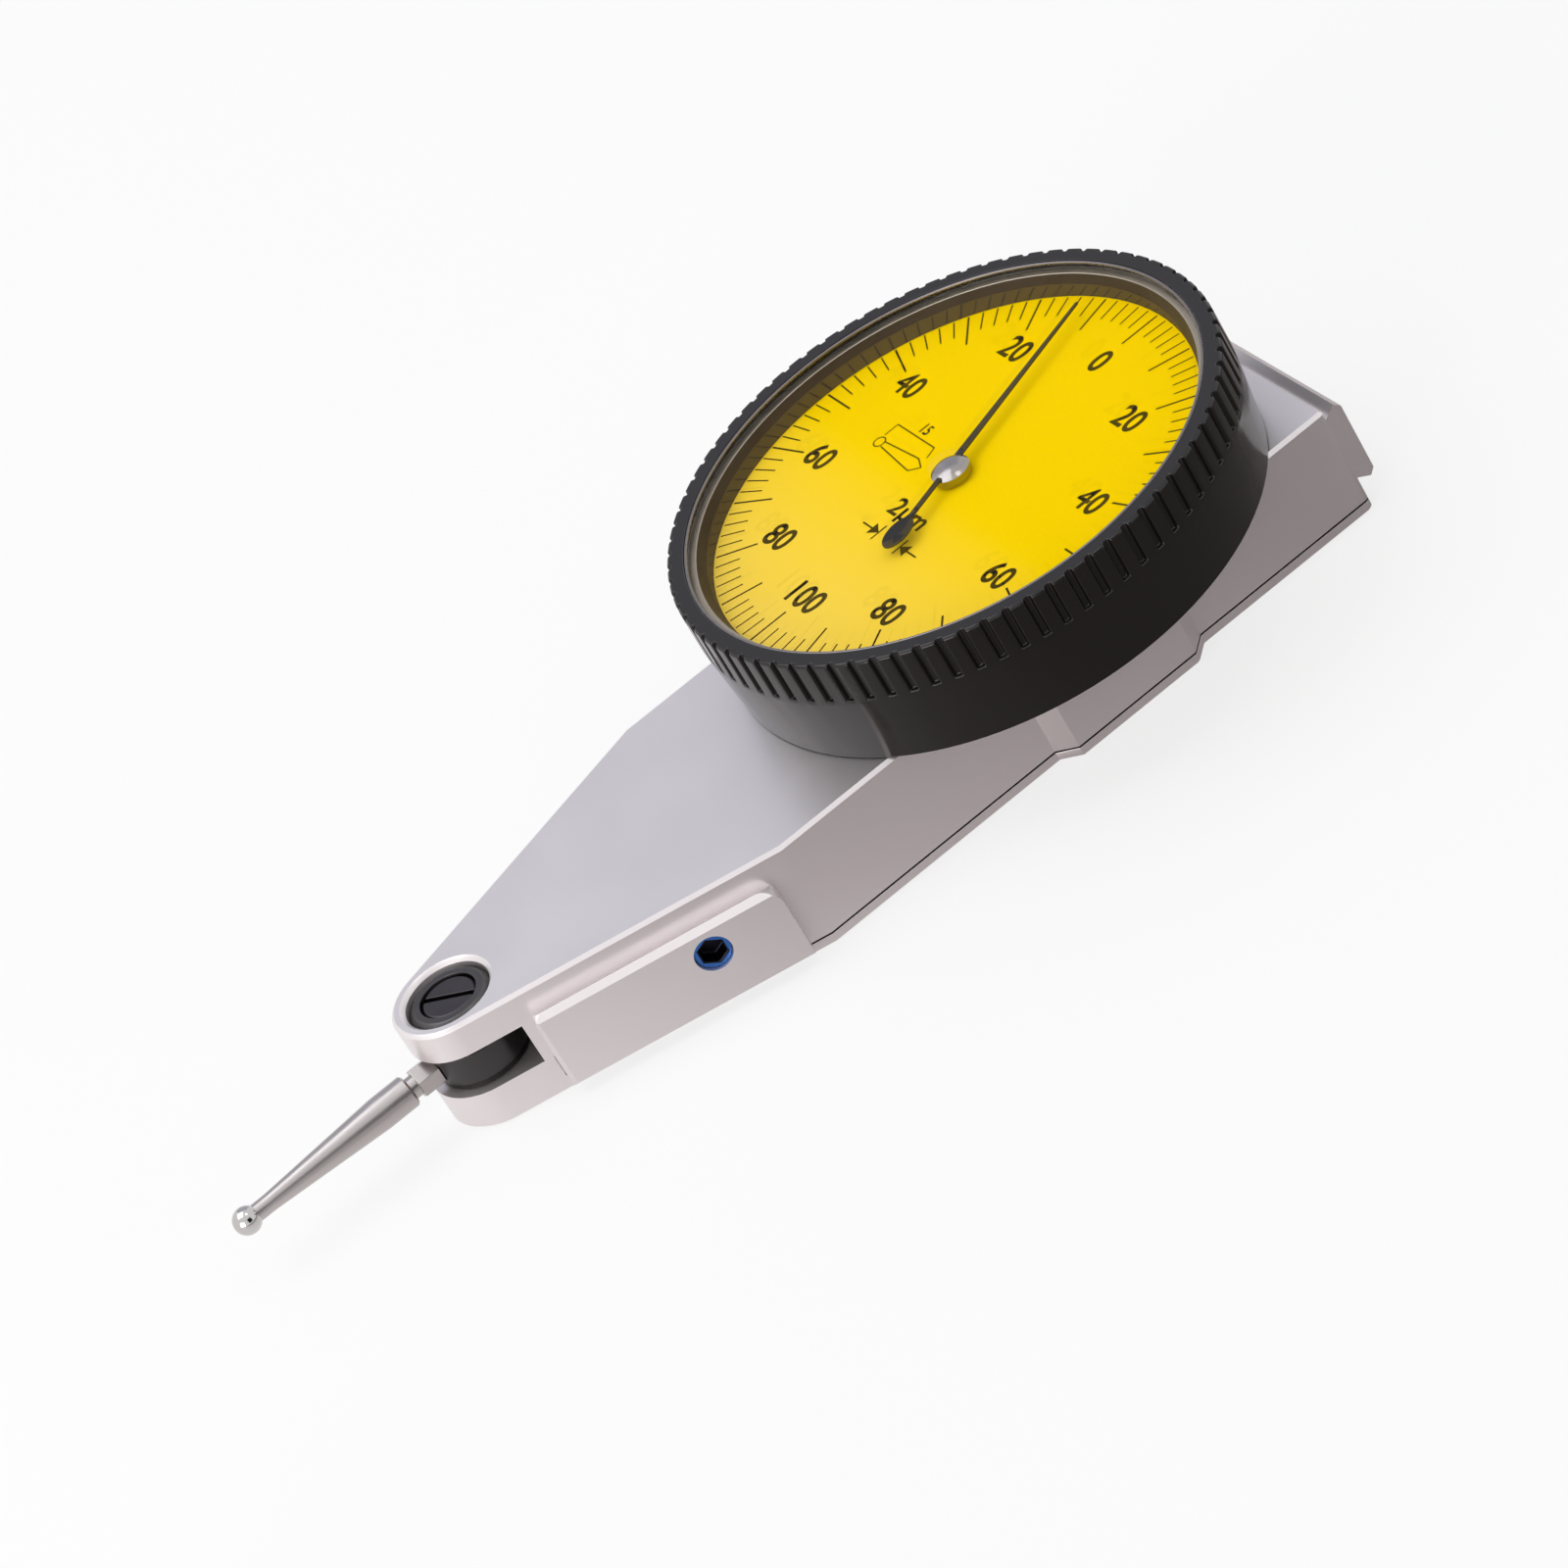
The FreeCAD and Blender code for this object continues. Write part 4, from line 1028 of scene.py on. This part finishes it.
def interval_arrows():
    """Two arrows that close in on the unit, each with its tail and its bar."""
    pieces = []
    for side in (-1, 1):
        towards = Vector((0, side, 0))
        point = interval_place + Vector((0, -side * arrow_reach, 0))
        tail = point - towards * arrow_tail
        bar_end = Vector((arrow_bar / 2, 0, 0))
        stop = point + towards * arrow_head
        pieces.append(ink_bar("tail", tail, point, fine_line))
        pieces.append(ink_head(point, towards, arrow_head))
        pieces.append(ink_bar("stop", stop - bar_end, stop + bar_end, fine_line))
    one_print("interval_arrows", pieces)


def length_sign():
    """A plain sketch of a stylus with its ball, the line that measures it and its length."""
    pieces = [ink_circle(on_print(sign_place, *sign_ball_at), sign_ball, sign_line)]
    for path in [sketch_outline, measure_line]:
        for start, end in zip(path, path[1:]):
            first = on_print(sign_place, *start)
            last = on_print(sign_place, *end)
            pieces.append(ink_bar("stroke", first, last, sign_line))
    one_print("length_sign", pieces)
    figure_place = on_print(sign_place, *sign_figure_at)
    dial_text("length_figure", sign_figure, sign_figure_height, figure_place)


def dial_print():
    """Ticks, figures, the unit and its signs."""
    interval_arrows()
    length_sign()
    tick_ring("long_ticks", long_tick_start, long_tick_width, [0])
    tick_ring("short_ticks", short_tick_start, short_tick_width, range(1, ticks_in_cell))
    for k, words in enumerate(labels):
        angle = label_angle * k
        place = Vector((math.cos(angle), math.sin(angle), 0)) * label_radius
        dial_text(f"figure_{k}", words, label_height, place - ALONG * label_drop)
    dial_text("unit", "2µm", unit_height, unit_place, unit_stretch)


# Studio
def camera():
    """The camera at the photograph's angle."""
    deselect()
    bpy.ops.object.camera_add(location=camera_place)
    view = bpy.context.object
    view.rotation_euler = [math.radians(angle) for angle in camera_turn]
    view.data.sensor_width = film_width
    view.data.lens = lens_length
    view.data.clip_start = nearest_seen
    bpy.context.scene.camera = view


def lamp(name, place, size, power, colour):
    """A large soft area lamp."""
    deselect()
    bpy.ops.object.light_add(type="AREA", location=place)
    light = bpy.context.object
    light.name = name
    light.data.shape = "SQUARE"
    light.data.size = size
    light.data.energy = power
    light.data.color = colour
    aim = Vector(studio_middle) - Vector(place)
    light.rotation_euler = aim.to_track_quat("-Z", "Y").to_euler()


def seen(tree):
    """1 for rays from the camera, off gloss and through glass, 0 for the rest."""
    path = tree.nodes.new("ShaderNodeLightPath")
    glossy = tree.nodes.new("ShaderNodeMath")
    glossy.operation = "MAXIMUM"
    through = tree.nodes.new("ShaderNodeMath")
    through.operation = "MAXIMUM"
    tree.links.new(path.outputs["Is Camera Ray"], glossy.inputs[0])
    tree.links.new(path.outputs["Is Glossy Ray"], glossy.inputs[1])
    tree.links.new(glossy.outputs["Value"], through.inputs[0])
    tree.links.new(path.outputs["Is Transmission Ray"], through.inputs[1])
    return through.outputs["Value"]


def mix_shaders(tree, share, plain, other, output):
    """Goes from one shader to another by a share, up to an output."""
    mix = tree.nodes.new("ShaderNodeMixShader")
    tree.links.new(share, mix.inputs["Fac"])
    tree.links.new(plain, mix.inputs[1])
    tree.links.new(other, mix.inputs[2])
    tree.links.new(mix.outputs["Shader"], output.inputs["Surface"])


def studio_world():
    """A world that is white where it is seen and a little darker where it lights."""
    world = bpy.data.worlds.new("studio_white")
    bpy.context.scene.world = world
    world.use_nodes = True
    tree = world.node_tree
    lighting = tree.nodes["Background"]
    lighting.inputs["Color"].default_value = white
    lighting.inputs["Strength"].default_value = daylight
    backdrop = tree.nodes.new("ShaderNodeBackground")
    backdrop.inputs["Color"].default_value = white
    backdrop.inputs["Strength"].default_value = 1.0
    mix_shaders(
        tree,
        seen(tree),
        lighting.outputs["Background"],
        backdrop.outputs["Background"],
        tree.nodes["World Output"],
    )


def glow(name, colour):
    """A glowing finish of one even colour whatever the light, for sheets that paint reflections.
    """
    black = (0, 0, 0)
    material, tree, shader = new_material(name, black, roughness=1.0, Specular_IOR_Level=0.0)
    shader.inputs["Emission Color"].default_value = (*colour, 1)
    shader.inputs["Emission Strength"].default_value = 1.0
    return material, tree, shader


def only_in_gloss(sheet):
    """Makes a card of the studio show in nothing but reflections."""
    sheet.visible_camera = False
    sheet.visible_diffuse = False
    sheet.visible_shadow = False
    sheet.visible_transmission = False


def card(name, place, size, colour):
    """A glowing card of one colour that faces the object, seen only as a painted reflection."""
    deselect()
    bpy.ops.mesh.primitive_plane_add(size=size, location=place)
    sheet = bpy.context.object
    sheet.name = name
    aim = Vector(studio_middle) - Vector(place)
    sheet.rotation_euler = aim.to_track_quat("Z", "Y").to_euler()
    sheet.data.materials.append(glow(name, colour)[0])
    only_in_gloss(sheet)


def floor_painted_reflection():
    """A glowing sheet on the floor, seen only in reflections: white under the nose, then warm grey
    beside it and dark at the rear as painted shade.
    """
    deselect()
    bpy.ops.mesh.primitive_plane_add(size=tones_size, location=UP * (cad_low.z - tones_drop))
    sheet = bpy.context.object
    sheet.name = "floor_painted_reflection"
    sheet.rotation_euler.z = tones_heading
    material, tree, shader = glow("floor_painted_reflection", side_painted_shade)
    place = tree.nodes.new("ShaderNodeTexCoord")
    parts = tree.nodes.new("ShaderNodeSeparateXYZ")
    tree.links.new(place.outputs["Object"], parts.inputs["Vector"])
    towards_side = spread(tree, parts.outputs["X"], low=nose_tone_at, high=0.0)
    towards_rear = spread(tree, parts.outputs["X"], low=0.0, high=rear_painted_shade_at)
    front = mix_colours(tree, towards_side, nose_tone, side_painted_shade)
    both = mix_colours(tree, towards_rear, side_painted_shade, rear_painted_shade)
    tree.links.new(front, both.node.inputs["A"])
    tree.links.new(both, shader.inputs["Emission Color"])
    sheet.data.materials.append(material)
    only_in_gloss(sheet)


def floor():
    """A wide pale floor, nearly white where it is seen, apart from the object's shadow."""
    deselect()
    bpy.ops.mesh.primitive_plane_add(size=floor_size, location=UP * (cad_low.z - floor_drop))
    ground = bpy.context.object
    ground.name = "floor"
    material, tree, shader = new_material("floor_white", floor_colour, roughness=0.9)
    emission = tree.nodes.new("ShaderNodeEmission")
    emission.inputs["Strength"].default_value = 1.0
    share = tree.nodes.new("ShaderNodeMath")
    share.operation = "MULTIPLY"
    share.inputs[1].default_value = floor_glow
    tree.links.new(seen(tree), share.inputs[0])
    mix_shaders(
        tree,
        share.outputs["Value"],
        shader.outputs["BSDF"],
        emission.outputs["Emission"],
        tree.nodes["Material Output"],
    )
    ground.data.materials.append(material)


def studio():
    """Lamps, cards, world and floor."""
    lamp("key_above", key_place, key_size, key_power, key_colour)
    lamp("top_light", top_place, top_size, top_power, top_colour)
    lamp("fill_left", fill_place, fill_size, fill_power, fill_colour)
    card("card_in_front", front_card_place, front_card_size, front_card_dark_reflection)
    card("card_behind", back_card_place, back_card_size, back_card_reflection)
    floor_painted_reflection()
    studio_world()
    floor()


deselect()
finish_solids()
metal_case()
stylus()
bezel_ring()
polished_crystal()
domed_hub()
dial_print()
camera()
studio()
bpy.context.scene.view_settings.view_transform = "Standard"
deselect()
bpy.context.view_layer.update()
